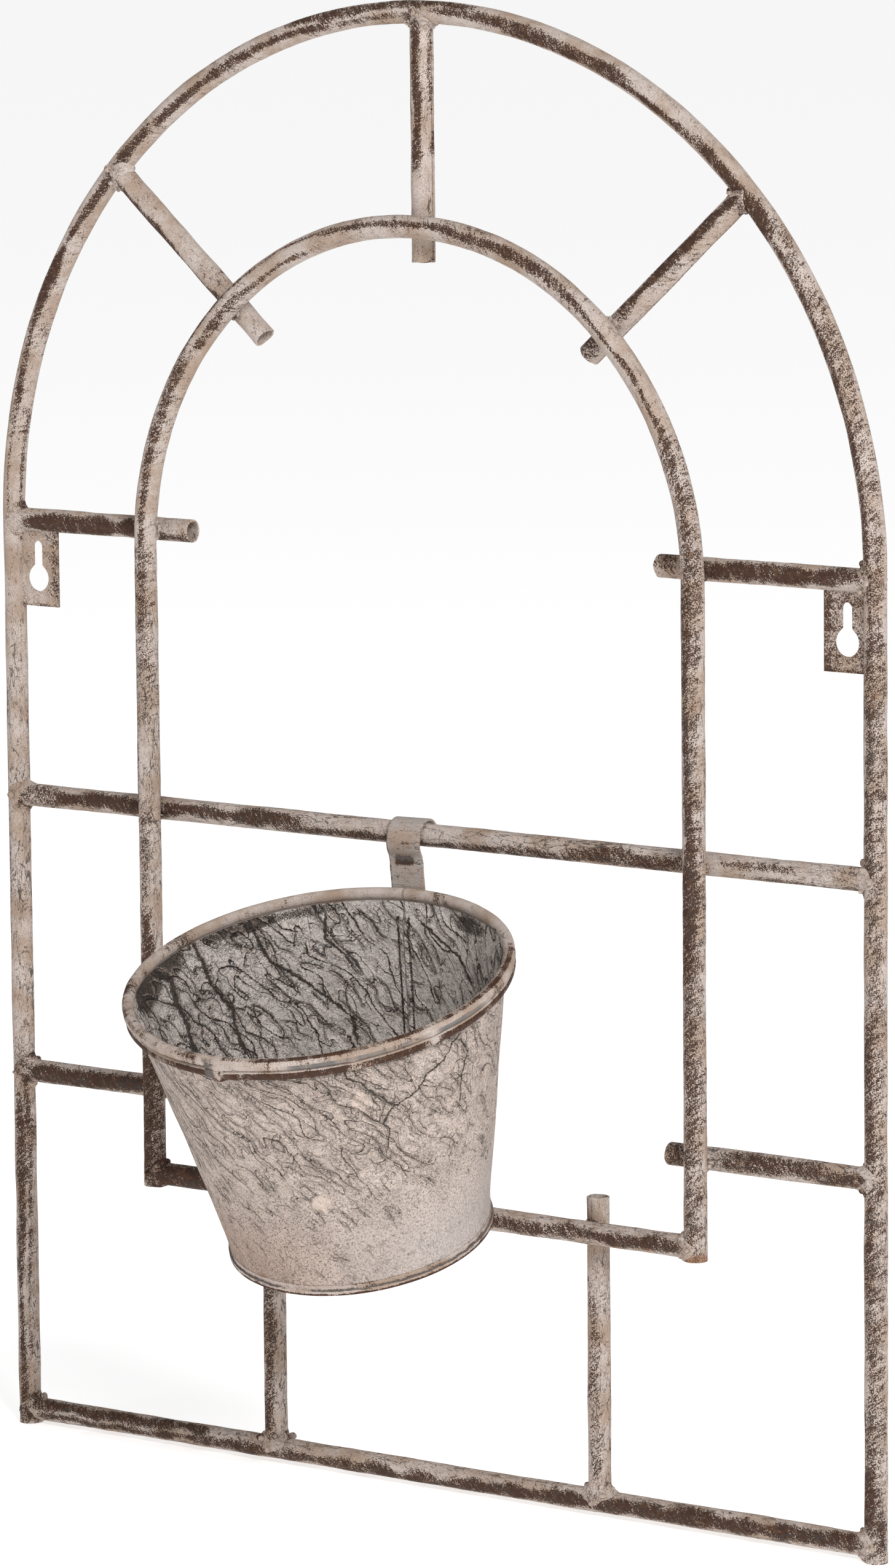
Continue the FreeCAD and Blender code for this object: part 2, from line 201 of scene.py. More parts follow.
class FinishColours(bpy.types.PropertyGroup):
    wash: colour("Wash", "Thick pale wash", (0.500, 0.428, 0.388, 1))
    thin_wash: colour("Thin wash", "Wash where it is thin", (0.366, 0.274, 0.214, 1))
    hook_wash: colour("Hook wash", "Thin grey wash on the hook", (0.400, 0.360, 0.334, 1))
    under_coat: colour("Under coat", "Dark brown coat under the wash", (0.040, 0.0165, 0.0095, 1))
    # The crack colour is also the painted shade in the troughs beside the pot's cracks
    crack: colour("Crack", "Dark grey in the cracks of the wash", (0.062, 0.051, 0.045, 1))
    rust: colour("Rust", "Specks and weld stains", (0.24, 0.112, 0.052, 1))
    pot_wash: colour("Pot wash", "Wash outside the pot", (0.615, 0.512, 0.453, 1))
    cool_wash: colour("Cool wash", "Greyer wash low on the pot", (0.520, 0.468, 0.438, 1))
    inside: colour("Inside wash", "Greyer wash inside the pot", (0.735, 0.668, 0.622, 1))
    # The pale spot colour is also the painted highlight on the lips beside the pot's cracks
    pale_spot_and_highlight: colour("Pale spot", "Bare pale spots on the pot", (0.66, 0.54, 0.46, 1))
    # Also the grey of the painted shade in the crease along the base ring's top edge
    bare_metal_and_shade: colour("Bare metal", "Grey metal where the wash is off", (0.168, 0.157, 0.148, 1))
    floor: colour("Floor", "Plain pale floor", (0.92, 0.92, 0.92, 1))


# Small tools for meshes


def smooth(low, high, values):
    """Zero up to low, one from high on and smooth between them."""
    t = np.clip((values - low) / (high - low), 0, 1)
    return t * t * (3 - 2 * t)


def waves(points, size, seed, count=18):
    """A smooth random field of about unit height over points, with features of the given size."""
    rng = np.random.default_rng(seed)
    directions = rng.normal(size=(count, points.shape[-1])) * (TURN / size / 1.7)
    phases = rng.uniform(0, TURN, count)
    return np.sin(points @ directions.T + phases).sum(-1) / math.sqrt(count / 2)


def within(values, start, full, fade, end):
    """One from full to fade, and smoothly down to zero at start and end."""
    return smooth(start, full, values) * (1 - smooth(fade, end, values))


def bell(away, width):
    """One in the middle and smoothly down to about a third at the given width."""
    return np.exp(-(away / width) ** 2)


def wrapped(angle, turn=TURN):
    """An angle brought within half a turn of zero."""
    return (angle + turn / 2) % turn - turn / 2


def distances(points):
    """How far along the line through the points each one lies."""
    return np.concatenate([[0.0], np.cumsum(np.linalg.norm(np.diff(points, axis=0), axis=1))])


def loft_faces(rows, columns, wrap_rows=False):
    """Faces between rows of points, each row a closed ring."""
    row = np.arange(rows if wrap_rows else rows - 1)[:, None]
    column = np.arange(columns)[None, :]
    next_row = (row + 1) % rows
    next_column = (column + 1) % columns
    corners = (
        row * columns + column,
        row * columns + next_column,
        next_row * columns + next_column,
        next_row * columns + column,
    )
    return np.stack(np.broadcast_arrays(*corners), -1).reshape(-1, 4).tolist()


def capped_faces(rows, columns):
    """Faces as from loft_faces, with one more over the first row and one over the last."""
    last = (rows - 1) * columns
    caps = [list(range(columns))[::-1], list(range(last, last + columns))]
    return loft_faces(rows, columns) + caps


class Shell:
    """Points, faces and painted attributes of a piece while it is being made."""

    def __init__(self):
        self.points = []
        self.runs = []
        self.wears = []
        self.faces = []
        self.looks = []

    def add(self, points, runs, wears, faces, look=0):
        start = sum(len(block) for block in self.points)
        self.points.append(np.asarray(points, float).reshape(-1, 3))
        self.runs.append(np.asarray(runs, float).reshape(-1, 3))
        self.wears.append(np.asarray(wears, float).reshape(-1))
        self.faces += [[start + corner for corner in face] for face in faces]
        self.looks += [look] * len(faces) if isinstance(look, int) else list(look)


def turned_out(points, faces):
    """The faces, turned round if the closed shape they make is inside out."""
    volume = 0.0
    for face in faces:
        first = points[face[0]]
        for one, two in zip(face[1:-1], face[2:]):
            volume += first @ np.cross(points[one], points[two])
    return [face[::-1] for face in faces] if volume < 0 else faces


def painted(mesh, label, values, kind="FLOAT"):
    """Stores a value for each point of a mesh, for its material."""
    layer = mesh.attributes.new(label, kind, "POINT")
    field = "vector" if kind == "FLOAT_VECTOR" else "value"
    layer.data.foreach_set(field, np.asarray(values, dtype=np.float32).ravel())


SHARP_EDGE = 42.0
WELD_SHARP_EDGE = 70.0


def piece(name, shell, materials, body, nodes, sharp=SHARP_EDGE):
    """Makes the object, gives it to its body and lets it stand for its CAD nodes."""
    points = np.concatenate(shell.points)
    mesh = bpy.data.meshes.new(name)
    mesh.from_pydata(points.tolist(), [], turned_out(points, shell.faces))
    painted(mesh, "run", np.concatenate(shell.runs), "FLOAT_VECTOR")
    painted(mesh, "wear", np.concatenate(shell.wears))
    for material in materials:
        mesh.materials.append(material)
    mesh.polygons.foreach_set("material_index", shell.looks)
    mesh.polygons.foreach_set("use_smooth", [True] * len(mesh.polygons))
    mesh.set_sharp_from_angle(angle=math.radians(sharp))
    mesh.validate()
    made = bpy.data.objects.new(name, mesh)
    return placed(made, body, nodes)


def placed(made, body, nodes):
    """Puts an object in the scene, on its body, for its CAD nodes."""
    bpy.context.scene.collection.objects.link(made)
    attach(made, body)
    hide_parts(*nodes)
    return made


def add_loop(curve, points):
    """Adds a closed line through points to a curve."""
    spline = curve.splines.new("POLY")
    spline.points.add(len(points) - 1)
    spline.points.foreach_set("co", np.c_[points, np.ones(len(points))].ravel())
    spline.use_cyclic_u = True


def plain_mesh(holder):
    """The mesh that a curve comes to with its modifiers. The curve itself is taken away."""
    bpy.context.scene.collection.objects.link(holder)
    depsgraph = bpy.context.evaluated_depsgraph_get()
    mesh = bpy.data.meshes.new_from_object(holder.evaluated_get(depsgraph), depsgraph=depsgraph)
    holder.modifiers.clear()
    bpy.data.objects.remove(holder)
    return mesh


# Tubes


def strip_wear(strips, share, angle, length, seed):
    """Wear of a tube's points from its strips, with wandering edges."""
    along = (share * length)[..., None]
    drift = waves(along, 40 * MM, seed) * 7.0
    breadth = 1 + 0.22 * waves(along, 22 * MM, seed + 1)
    fade = 7 * MM / length
    worn = 0.13 + 0.07 * waves(np.broadcast_to(along, (*share.shape, 1)), 60 * MM, seed + 2)
    for start, end, facing, half_width, strength in strips:
        lengthwise = within(share, start - fade, start + fade, end - fade, end + fade)
        away = np.abs(wrapped(np.degrees(angle) - facing - drift, FULL_CIRCLE))
        width = half_width * breadth
        across = 1 - smooth(0.45, 1.75, away / width)
        worn = np.maximum(worn, strength * lengthwise * across)
    return worn


class TubeRun:
    """Middle line of a tube in a plane that faces the front, as points, directions and distances."""

    def __init__(self, points):
        self.points = np.asarray(points, float)
        self.distance = distances(self.points)
        heading = np.gradient(self.points, self.distance, axis=0)
        self.heading = heading / np.linalg.norm(heading, axis=1)[:, None]
        self.outward = np.cross(FRONT, self.heading)
        self.length = self.distance[-1]


def straight_run(start, end, step):
    """A straight tube's middle line in steps of about the given length."""
    count = max(int(np.linalg.norm(end - start) / step), 8) + 1
    share = np.linspace(0, 1, count)[:, None]
    return TubeRun(start + (end - start) * share)


def arch_run(half, spring, foot, plane_y, step):
    """From the left foot up, over the half round and down to the right foot."""
    legs = np.arange(foot, spring, step)
    turns = np.linspace(math.pi, 0, int(math.pi * half / step) + 1)
    left = [(-half, plane_y, z) for z in legs]
    bow = [(half * math.cos(t), plane_y, spring + half * math.sin(t)) for t in turns]
    right = [(half, plane_y, z) for z in legs[::-1]]
    return TubeRun(left + bow + right)


COPE_SINK = 0.4 * MM
COPE_ZONE = 2.4


def cope(along, angle, radius, length, coped):
    """Distances along a tube, drawn back at the coped ends to the round of the header."""
    trim = radius * np.abs(np.sin(angle)) - COPE_SINK
    zone = COPE_ZONE * radius
    shifted = along + np.zeros_like(angle)
    if coped[0]:
        shifted = np.where(shifted < zone, trim + shifted / zone * (zone - trim), shifted)
    if coped[1]:
        back = length - shifted
        shifted = np.where(back < zone, length - trim - back / zone * (zone - trim), shifted)
    return shifted


def tube_surface(run, angle, radius, coped, dent, seed):
    """Points of the surface on a grid of rows along and columns round the tube."""
    along = cope(run.distance[:, None], angle[None, :], radius, run.length, coped)
    centre = np.stack([np.interp(along, run.distance, run.points[:, k]) for k in range(3)], -1)
    out = np.cos(angle)[None, :, None] * FRONT + np.sin(angle)[None, :, None] * run.outward[:, None, :]
    rough = centre + out * radius
    height = waves(rough, 9 * MM, seed) * 0.5 + waves(rough, 34 * MM, seed + 1)
    return centre + out * (radius + dent * (height - height.max()))[..., None], along, out


def tube_paint(along, angle, radius, offset):
    """Coordinates for the finish that run along and round the tube."""
    turn = np.broadcast_to(angle, along.shape)
    return np.stack([along + offset, radius * np.cos(turn), radius * np.sin(turn)], -1)


MOUTH_DEPTH = 16 * MM
MOUTH_BEVEL = 0.25 * MM
MOUTH_WEAR = 0.35
CAP_R = 0.2 * MM
PAINT_OFFSET = 0.37


def with_ends(run, coped, radius, bore, points, out, runs, wear):
    """Adds the rows at a tube's ends: a coped end closes at its axis, an open one is hollow."""
    rows, row_runs, row_wears = list(points), list(runs), list(wear)
    for end in (0, -1):
        inward = run.heading[end] * (1 if end == 0 else -1)
        mouth = run.points[end] + 0 * points[end]
        if coped[end]:
            extra = [mouth + out[end] * CAP_R]
            extra_wears = [wear[end]]
        else:
            rows[end] = rows[end] + inward * MOUTH_BEVEL
            steps = (
                (radius - MOUTH_BEVEL, 0.0), (bore + MOUTH_BEVEL, 0.0), (bore, MOUTH_BEVEL),
                (bore, MOUTH_DEPTH), (CAP_R, MOUTH_DEPTH))
            extra = [mouth + out[end] * size + inward * into for size, into in steps]
            lip_wear = np.clip(wear[end] + MOUTH_WEAR, 0, 1)
            extra_wears = [lip_wear] * (len(steps) - 1) + [np.ones_like(lip_wear)]
        extra_runs = [runs[end]] * len(extra)
        if end == 0:
            rows = extra[::-1] + rows
            row_runs = extra_runs + row_runs
            row_wears = extra_wears[::-1] + row_wears
        else:
            rows += extra
            row_runs += extra_runs
            row_wears += extra_wears
    return rows, row_runs, row_wears


def make_tube(name, run, coped, sizes, material, seed, seam=None):
    """A tube with open, hollow ends where it isn't coped, and a split along it where it has a seam."""
    radius = sizes.radius
    bore = radius - sizes.wall
    if seam is None:
        angle = np.linspace(-math.pi, math.pi, sizes.sides, endpoint=False)
    else:
        half_gap = sizes.seam / radius / 2
        angle = np.linspace(seam + half_gap, seam + TURN - half_gap, sizes.sides)
    points, along, out = tube_surface(run, angle, radius, coped, sizes.dent, seed)
    turn = np.broadcast_to(angle, along.shape)
    wear = strip_wear(TUBE_WEAR[name], along / run.length, turn, run.length, seed)
    runs = tube_paint(along, angle, radius, PAINT_OFFSET * seed)
    shell = Shell()
    if seam is None:
        rows, row_runs, row_wears = with_ends(run, coped, radius, bore, points, out, runs, wear)
        shell.add(rows, row_runs, row_wears, capped_faces(len(rows), len(angle)))
    else:
        inner, _, _ = tube_surface(run, angle[::-1], bore, coped, sizes.dent * 0.5, seed)
        ring = np.concatenate([points, inner], axis=1)
        free = -1 if coped[0] else 0
        ring[free] += run.heading[free] * waves(ring[free], 6 * MM, seed)[:, None] * 0.12 * MM
        ring_runs = np.concatenate([runs, runs[:, ::-1]], axis=1)
        ring_wears = np.concatenate([wear, wear[:, ::-1] * 0.2 + 0.2], axis=1)
        columns = ring.shape[1]
        faces = loft_faces(len(ring), columns)
        last = (len(ring) - 1) * columns
        for k in range(len(angle) - 1):
            quad = [k, k + 1, columns - 2 - k, columns - 1 - k]
            faces.append(quad[::-1])
            faces.append([last + corner for corner in quad])
        shell.add(ring, ring_runs, ring_wears, faces)
    return piece(name + "_painted", shell, [material], "frame", [name])


def ring_distance(half, spring):
    """Distance along a spoke's line from the point it aims at to the middle of an arch."""
    rise = BOTTOM_Z + SPOKE_AIM_RISE - spring
    along = rise * math.sin(SPOKE_ANGLE)
    return math.sqrt(half ** 2 - rise ** 2 + along ** 2) - along


def spoke_ends(side):
    """Where a slanted spoke meets the outer arch, crosses the inner one and ends."""
    aim = np.array([0.0, 0.0, BOTTOM_Z + SPOKE_AIM_RISE])
    out = np.array([side * math.cos(SPOKE_ANGLE), 0.0, math.sin(SPOKE_ANGLE)])
    meet = ring_distance(INNER_HALF, INNER_SPRING)
    joint = aim + out * ring_distance(OUTER_HALF, OUTER_SPRING)
    return joint, aim + out * meet, aim + out * (meet - TUBE_R - SPOKE_REACH)


def spot(x, z, y=0.0):
    """A point given as seen from the front, in the plane of the outer frame unless said."""
    return np.array([x, y, z])


def bar_table():
    """Bars and stubs: start, end, coped ends and the side a rolled seam faces, in degrees from the front."""
    table = {
        "outer_bottom_bar": (spot(-OUTER_HALF, BOTTOM_Z), spot(OUTER_HALF, BOTTOM_Z), (True, True), None),
        "inner_bottom_bar": (
            spot(-INNER_HALF, SILL_Z, INNER_Y), spot(INNER_HALF, SILL_Z, INNER_Y), (True, True), None),
        "crossbar": (spot(-OUTER_HALF, CROSSBAR_Z), spot(OUTER_HALF, CROSSBAR_Z), (True, True), None),
        "top_spoke": (
            spot(0, reach("top_spoke", LOW, Z)), spot(0, OUTER_SPRING + OUTER_HALF), (False, True), -90),
    }
    for bar, z in (("shoulder_bar", SHOULDER_Z), ("lower_bar", LOWER_Z)):
        left, right = "left_" + bar, "right_" + bar
        table[left] = (spot(-OUTER_HALF, z), spot(reach(left, HIGH, X), z), (True, False), -90)
        table[right] = (spot(reach(right, LOW, X), z), spot(OUTER_HALF, z), (False, True), -90)
    for side, word in ((-1, "left"), (1, "right")):
        post = word + "_foot_post"
        foot, top = spot(side * POST_X, BOTTOM_Z), spot(side * POST_X, reach(post, HIGH, Z))
        table[post] = (foot, top, (True, False), 90)
    joint, _, end = spoke_ends(-1)
    table["left_spoke"] = (joint, end, (True, False), -90)
    joint, _, end = spoke_ends(1)
    table["right_spoke"] = (end, joint, (False, True), -90)
    return table


# Welds

COLLAR_SIDES = 56
COLLAR_ROWS = 8
COLLAR_SINK = 0.12 * MM
COLLAR_ROOT = 0.7 * MM
COLLAR_WEAR = 0.2
DROP_STRAY = 0.5 * MM
DROP_SEED = 4
DROP_SMALLEST = 0.45
DROP_LARGEST = 1.25
TACK_DROP = 1.5 * MM
TACK_SPACING = 2.2 * MM
TACK_STRAY = 0.4 * MM
TACK_SEED = 9
TACK_SIDES = 20


def collar(joint, along, sizes, radius, seed, low=None):
    """A lumpy weld round a bar that meets a header of the same radius, as a closed ring."""
    across = np.cross(along, FRONT)
    turn = np.linspace(0, TURN, COLLAR_SIDES, endpoint=False)
    ring = np.stack([np.cos(turn), np.sin(turn)], -1) * radius
    bar_leg = sizes.leg * (1.0 + 0.34 * waves(ring, 6 * MM, seed))
    head_leg = sizes.leg * (0.9 + 0.34 * waves(ring, 7 * MM, seed + 5))
    bulge = sizes.bulge * (1.0 + 0.45 * waves(ring, 4 * MM, seed + 9))
    bar_out = np.cos(turn)[:, None] * FRONT + np.sin(turn)[:, None] * across
    start = radius * np.abs(np.sin(turn))
    corner = joint + along * start[:, None] + bar_out * radius
    on_bar = corner + along * bar_leg[:, None] - bar_out * COLLAR_SINK
    swing = np.arctan2(np.cos(turn), np.abs(np.sin(turn)))
    flat = np.stack([swing * radius, radius * np.sin(turn)], -1)
    far = np.linalg.norm(flat, axis=1)
    spread = flat * (1 + head_leg / far)[:, None]
    head_out = np.cos(spread[:, 0] / radius)[:, None] * along + np.sin(spread[:, 0] / radius)[:, None] * FRONT
    on_head = joint + head_out * (radius - COLLAR_SINK) + across * spread[:, 1:2]
    corner_out = bar_out + np.cos(swing)[:, None] * along + np.sin(swing)[:, None] * FRONT
    corner_out /= np.linalg.norm(corner_out, axis=1)[:, None]
    crest = corner + corner_out * bulge[:, None]
    share = np.linspace(0, 1, COLLAR_ROWS)[:, None, None]
    rows = on_bar * (1 - share) ** 2 + crest * (2 * share * (1 - share)) + on_head * share ** 2
    root = corner - corner_out * COLLAR_ROOT
    rows = np.concatenate([rows, root[None]])
    if low is not None:
        rows[..., Z] = np.maximum(rows[..., Z], low)
        crest[..., Z] = np.maximum(crest[..., Z], low + DROP_LARGEST * sizes.drop + DROP_STRAY)
    faces = loft_faces(len(rows), COLLAR_SIDES, True)
    return rows, faces, crest


def weld_joints():
    """Where each bar is welded to its header: node, joint, direction of the bar and lowest point."""
    joints = []
    for bar, half, y, z, low in (
            ("outer_bottom_bar", OUTER_HALF, 0.0, BOTTOM_Z, OUTER_FOOT),
            ("inner_bottom_bar", INNER_HALF, INNER_Y, SILL_Z, INNER_FOOT),
            ("crossbar", OUTER_HALF, 0.0, CROSSBAR_Z, None)):
        joints.append((bar + "_left_weld", spot(-half, z, y), ACROSS, low))
        joints.append((bar + "_right_weld", spot(half, z, y), -ACROSS, low))
    for side, word in ((-1, "left"), (1, "right")):
        for bar, z in (("_shoulder_bar_weld", SHOULDER_Z), ("_lower_bar_weld", LOWER_Z)):
            joints.append((word + bar, spot(side * OUTER_HALF, z), -side * ACROSS, None))
        joints.append((word + "_foot_post_weld", spot(side * POST_X, BOTTOM_Z), UP, None))
        joint, _, end = spoke_ends(side)
        joints.append((word + "_spoke_weld", joint, (end - joint) / np.linalg.norm(end - joint), None))
    joints.append(("top_spoke_weld", spot(0, OUTER_SPRING + OUTER_HALF), -UP, None))
    return joints


def tack_places():
    """Where the inner frame crosses the bars behind it."""
    places = [(0.0, INNER_SPRING + INNER_HALF)]
    for side in (-1, 1):
        places += [(side * INNER_HALF, z) for z in (SHOULDER_Z, CROSSBAR_Z, LOWER_Z)]
        places.append((side * POST_X, SILL_Z))
        crossing = spoke_ends(side)[1]
        places.append((crossing[X], crossing[Z]))
    return places


def drop_tree():
    """Geometry nodes that set drops of weld metal along curves."""
    tree = bpy.data.node_groups.new("Weld drops", "GeometryNodeTree")
    for label, kind, value in (
            ("Geometry", "Geometry", None), ("Spacing", "Float", 3.0 * MM),
            ("Drop radius", "Float", 1.0 * MM), ("Stray", "Float", 0.4 * MM), ("Seed", "Int", 1),
            ("Material", "Material", None)):
        socket = tree.interface.new_socket(label, in_out="INPUT", socket_type="NodeSocket" + kind)
        if value is not None:
            socket.default_value = value
    tree.interface.new_socket("Geometry", in_out="OUTPUT", socket_type="NodeSocketGeometry")
    nodes = Graph(tree)
    given = nodes.add("NodeGroupInput").outputs

    def random_vector(low, high):
        values = {0: [low] * 3, 1: [high] * 3, "Seed": given["Seed"]}
        return nodes.node("FunctionNodeRandomValue", values, data_type="FLOAT_VECTOR").outputs[0]

    path = {"Curve": given["Geometry"], "Length": given["Spacing"]}
    points = nodes.node("GeometryNodeResampleCurve", path, mode="LENGTH").outputs["Curve"]
    shift = nodes.vector("SCALE", random_vector(-1, 1), given["Stray"])
    moved = nodes.node("GeometryNodeSetPosition", {"Geometry": points, "Offset": shift}).outputs["Geometry"]
    ball = {"Subdivisions": 3, "Radius": given["Drop radius"]}
    drop = nodes.node("GeometryNodeMeshIcoSphere", ball).outputs["Mesh"]
    spread = {"Points": moved, "Instance": drop, "Scale": random_vector(DROP_SMALLEST, DROP_LARGEST)}
    made = nodes.node("GeometryNodeInstanceOnPoints", spread).outputs["Instances"]
    for kind in ("GeometryNodeRealizeInstances", "GeometryNodeSetShadeSmooth"):
        made = nodes.node(kind, {"Geometry": made}).outputs["Geometry"]
    coat = {"Geometry": made, "Material": given["Material"]}
    coated = nodes.node("GeometryNodeSetMaterial", coat).outputs["Geometry"]
    nodes.node("NodeGroupOutput", {"Geometry": coated})
    return tree


def drops_on(name, loops, tree, spacing, radius, stray, seed, material):
    """A plain mesh of drops along closed loops of points."""
    path = bpy.data.curves.new(name + "_path", "CURVE")
    path.dimensions = "3D"
    for loop in loops:
        add_loop(path, loop)
    holder = bpy.data.objects.new(name + "_path", path)
    modifier = holder.modifiers.new("Drops", "NODES")
    modifier.node_group = tree
    sockets = {item.name: item.identifier for item in tree.interface.items_tree if item.in_out == "INPUT"}
    values = {"Spacing": spacing, "Drop radius": radius, "Stray": stray, "Seed": seed, "Material": material}
    for label, value in values.items():
        modifier[sockets[label]] = value
    mesh = plain_mesh(holder)
    mesh.name = name
    return bpy.data.objects.new(name, mesh)


# The pot's own frame: its axis is local Z, the rim's top is at zero and the hook is at the back, +Y

UPPER_ROLL_R = 2.5 * MM
LOWER_ROLL_R = 2.2 * MM
LOWER_ROLL_DROP = 4.5 * MM
LOWER_ROLL_INSET = 0.4 * MM
RIM_OVERHANG = 3.3 * MM
WALL_TOP_DROP = 5.0 * MM
WALL_FOOT_RISE = 0.8 * MM
BASE_RING_T = 1.6 * MM
BASE_RING_H = 4.5 * MM
BASE_RING_INSIDE = 2.0 * MM
BASE_RECESS = 3.0 * MM
SEAM_HALF = 2.0 * MM
SEAM_RISE = 0.9 * MM
SEAM_TOP_DROP = 10.0 * MM
SEAM_FOOT_RISE = 8.0 * MM
STRAP_FOOT_DROP = 34.0 * MM
STRAP_JOG_DROP = 4.5 * MM
STRAP_RIM_GAP = 0.3 * MM
STRAP_LEAN = math.radians(7.6)
LOOP_SLACK = 3.0 * MM
LOOP_GAP = 0.6 * MM
LOOP_RISE = 16.1 * MM
LOOP_START = math.radians(25)
TAIL_LENGTH = 6.0 * MM
HOOK_X = -8.7 * MM
RIM_H = UPPER_ROLL_R + LOWER_ROLL_DROP + LOWER_ROLL_R


class PotFrame:
    """Where the pot hangs, worked out from its sizes as in the CAD."""

    def __init__(self, sizes):
        self.loop_r = TUBE_R + LOOP_SLACK + sizes.strap
        rise = RIM_H + LOOP_RISE - self.loop_r * math.sin(LOOP_START)
        back = STRAP_RIM_GAP + rise * math.tan(STRAP_LEAN) + self.loop_r * math.cos(LOOP_START)
        self.loop = np.array([0.0, sizes.rim + back, LOOP_RISE])
        turn = Matrix.Rotation(sizes.twist, 3, "Z") @ Matrix.Rotation(sizes.lean, 3, "X")
        self.turn = np.array(turn)
        self.hang = np.array([HOOK_X, 0.0, CROSSBAR_Z - LOOP_SLACK + LOOP_GAP])
        self.wall_top_r = sizes.rim - RIM_OVERHANG
        self.wall_foot_r = sizes.base - BASE_RING_T
        self.wall_top_z = -WALL_TOP_DROP
        self.wall_foot_z = WALL_FOOT_RISE - sizes.height
        self.taper = (self.wall_top_r - self.wall_foot_r) / (self.wall_top_z - self.wall_foot_z)

    def hung(self, points):
        return (np.asarray(points) - self.loop) @ self.turn.T + self.hang

    def wall_r(self, z):
        return self.wall_top_r + (z - self.wall_top_z) * self.taper


def around(angle, radius, z):
    """Points round the pot's axis. Angle zero is the front, and grows to the right as seen from there."""
    angle, radius, z = np.broadcast_arrays(angle, radius, z)
    return np.stack([radius * np.sin(angle), -radius * np.cos(angle), z], -1)


def patches(angle, z, places):
    """Painted wear in soft patches: angle and height of the middle, half width and half height, strength."""
    worn = np.zeros(np.broadcast(angle, z).shape)
    for at, level, wide, tall, strength in places:
        aside = wrapped(np.degrees(angle) - at, FULL_CIRCLE) / wide
        away = np.hypot(aside, (z - level * MM) / (tall * MM))
        worn = np.maximum(worn, strength * (1 - smooth(0.35, 1.0, away)))
    return worn


# Wear on the wall and a painted shadow under the rim, as patches takes them, and the pale spots: angle,
# height and radius
INSIDE_WEAR = (
    (-80, -7, 16, 15, 1.0), (-97, -6, 11, 10, 1.0), (-126, -7, 22, 4.5, 0.90), (-150, -7, 20, 3.5, 0.66),
    (152, -9, 12, 6, 0.80), (128, -14, 10, 6, 0.50),
)
# Outside, the second patch, a band all round just under the rim, is painted shadow of the rim with grime
OUTSIDE_WEAR_AND_RIM_SHADOW = ((77, -20, 3, 5, 0.62), (0, -10.5, 360, 2.0, 0.50), (-60, -30, 30, 30, 0.24))
PALE_SPOTS = ((38.2, -25.9, 4.6), (18.4, -73.9, 4.6))


# Single cracks on the pot: how wide each is, then angles in degrees and heights in millimetres
OUTSIDE_CRACKS = (
    (1.00, (75.0, -12.4), (71.0, -15.0), (67.5, -20.5), (61.0, -22.5), (57.5, -28.0), (52.5, -31.0),
     (48.2, -32.0)),
    (0.85, (34.3, -8.6), (34.9, -14.0), (39.2, -18.0), (42.2, -23.5), (45.2, -27.0), (48.2, -32.0),
     (45.0, -38.5)),
    (0.50, (24.0, -10.0), (28.5, -17.0), (30.0, -25.0), (36.5, -29.5), (40.5, -35.5), (46.5, -42.5),
     (45.0, -52.0)),
    (0.75, (76.0, -16.0), (79.0, -23.0), (75.5, -32.0), (75.0, -43.0)),
)
INSIDE_CRACKS = (
    (1.9, (-90.0, -6.0), (-95.2, -12.8), (-93.7, -23.3), (-95.5, -33.0), (-94.3, -43.2), (-92.0, -52.0)),
    (1.2, (-109.3, -5.4), (-110.7, -23.6), (-116.1, -37.9), (-115.2, -45.0), (-116.5, -56.2)),
    (0.9, (-130.2, -6.5), (-131.3, -15.2), (-133.7, -23.9), (-143.1, -34.5), (-156.3, -50.5)),
    (0.7, (-154.0, -10.1), (-152.9, -19.3), (-158.3, -25.8)),
    (0.9, (172.7, -13.0), (165.2, -19.1), (156.7, -23.5), (150.2, -31.9)),
    (1.5, (-158.4, -53.7), (-159.1, -61.5)),
)
FAR = 9.0 * MM
STAIN = (-20, -114.5, 5, 3.5, 1.0)
OUTSIDE_SLANT = math.radians(-52)
INSIDE_SLANT = math.radians(56)
INSIDE_SHIFT = np.array([1.3, 0.0, 0.0])

# Steps round the wall in degrees, fine near the seam
SEAM_ZONE = 4.5
FINE_STEP = 0.45
COARSE_STEP = 0.95
WALL_ROWS = 120


def single_cracks(cracks, angle, z, mean_r):
    """Distance to the nearest single crack, with a sign that tells its two sides apart."""
    across, up = np.broadcast_arrays(angle * mean_r, z)
    nearest = np.full(across.shape, FAR)
    for wide, *line in cracks:
        corners = [(math.radians(turn) * mean_r, level * MM) for turn, level in line]
        for (u, v), (next_u, next_v) in zip(corners[:-1], corners[1:]):
            length = math.hypot(next_u - u, next_v - v)
            along = ((across - u) * (next_u - u) + (up - v) * (next_v - v)) / length
            aside = ((across - u) * (next_v - v) - (up - v) * (next_u - u)) / length
            beyond = np.maximum(np.abs(along - length / 2) - length / 2, 0)
            gap = np.hypot(aside, beyond) * np.where(aside < 0, -1, 1) / wide
            nearest = np.where(np.abs(gap) < np.abs(nearest), gap, nearest)
    return nearest


def wall_veins(flat, slant, size, side_size, seed, single):
    """Distances to two nets of wandering lines that run at a slant, and to the single cracks."""
    nudge = 0.1 * MM
    layers = []
    for spacing, stretch, key in ((size, 5.0, seed), (side_size, 3.4, seed + 7)):

        def level(points):
            bend = [waves(points, 2.4 * spacing, key + k, 30) * 0.15 * spacing for k in (1, 2)]
            bent = points + np.stack(bend, -1)
            along = (bent[..., 0] * math.cos(slant) + bent[..., 1] * math.sin(slant)) / stretch
            across = bent[..., 1] * math.cos(slant) - bent[..., 0] * math.sin(slant)
            return waves(np.stack([along, across], -1), spacing, key, 40)

        here = level(flat)
        slope = np.hypot(level(flat + [nudge, 0.0]) - here, level(flat + [0.0, nudge]) - here) / nudge
        layers.append(np.clip(here / np.maximum(slope, 0.35 * slope.mean()), -FAR, FAR))
    return np.stack([*layers, single], -1)


def both_faces(outer, inner):
    """Values of the wall's outer face from the foot up, then of its inner face from the top down."""
    return np.concatenate([outer, inner[::-1]])


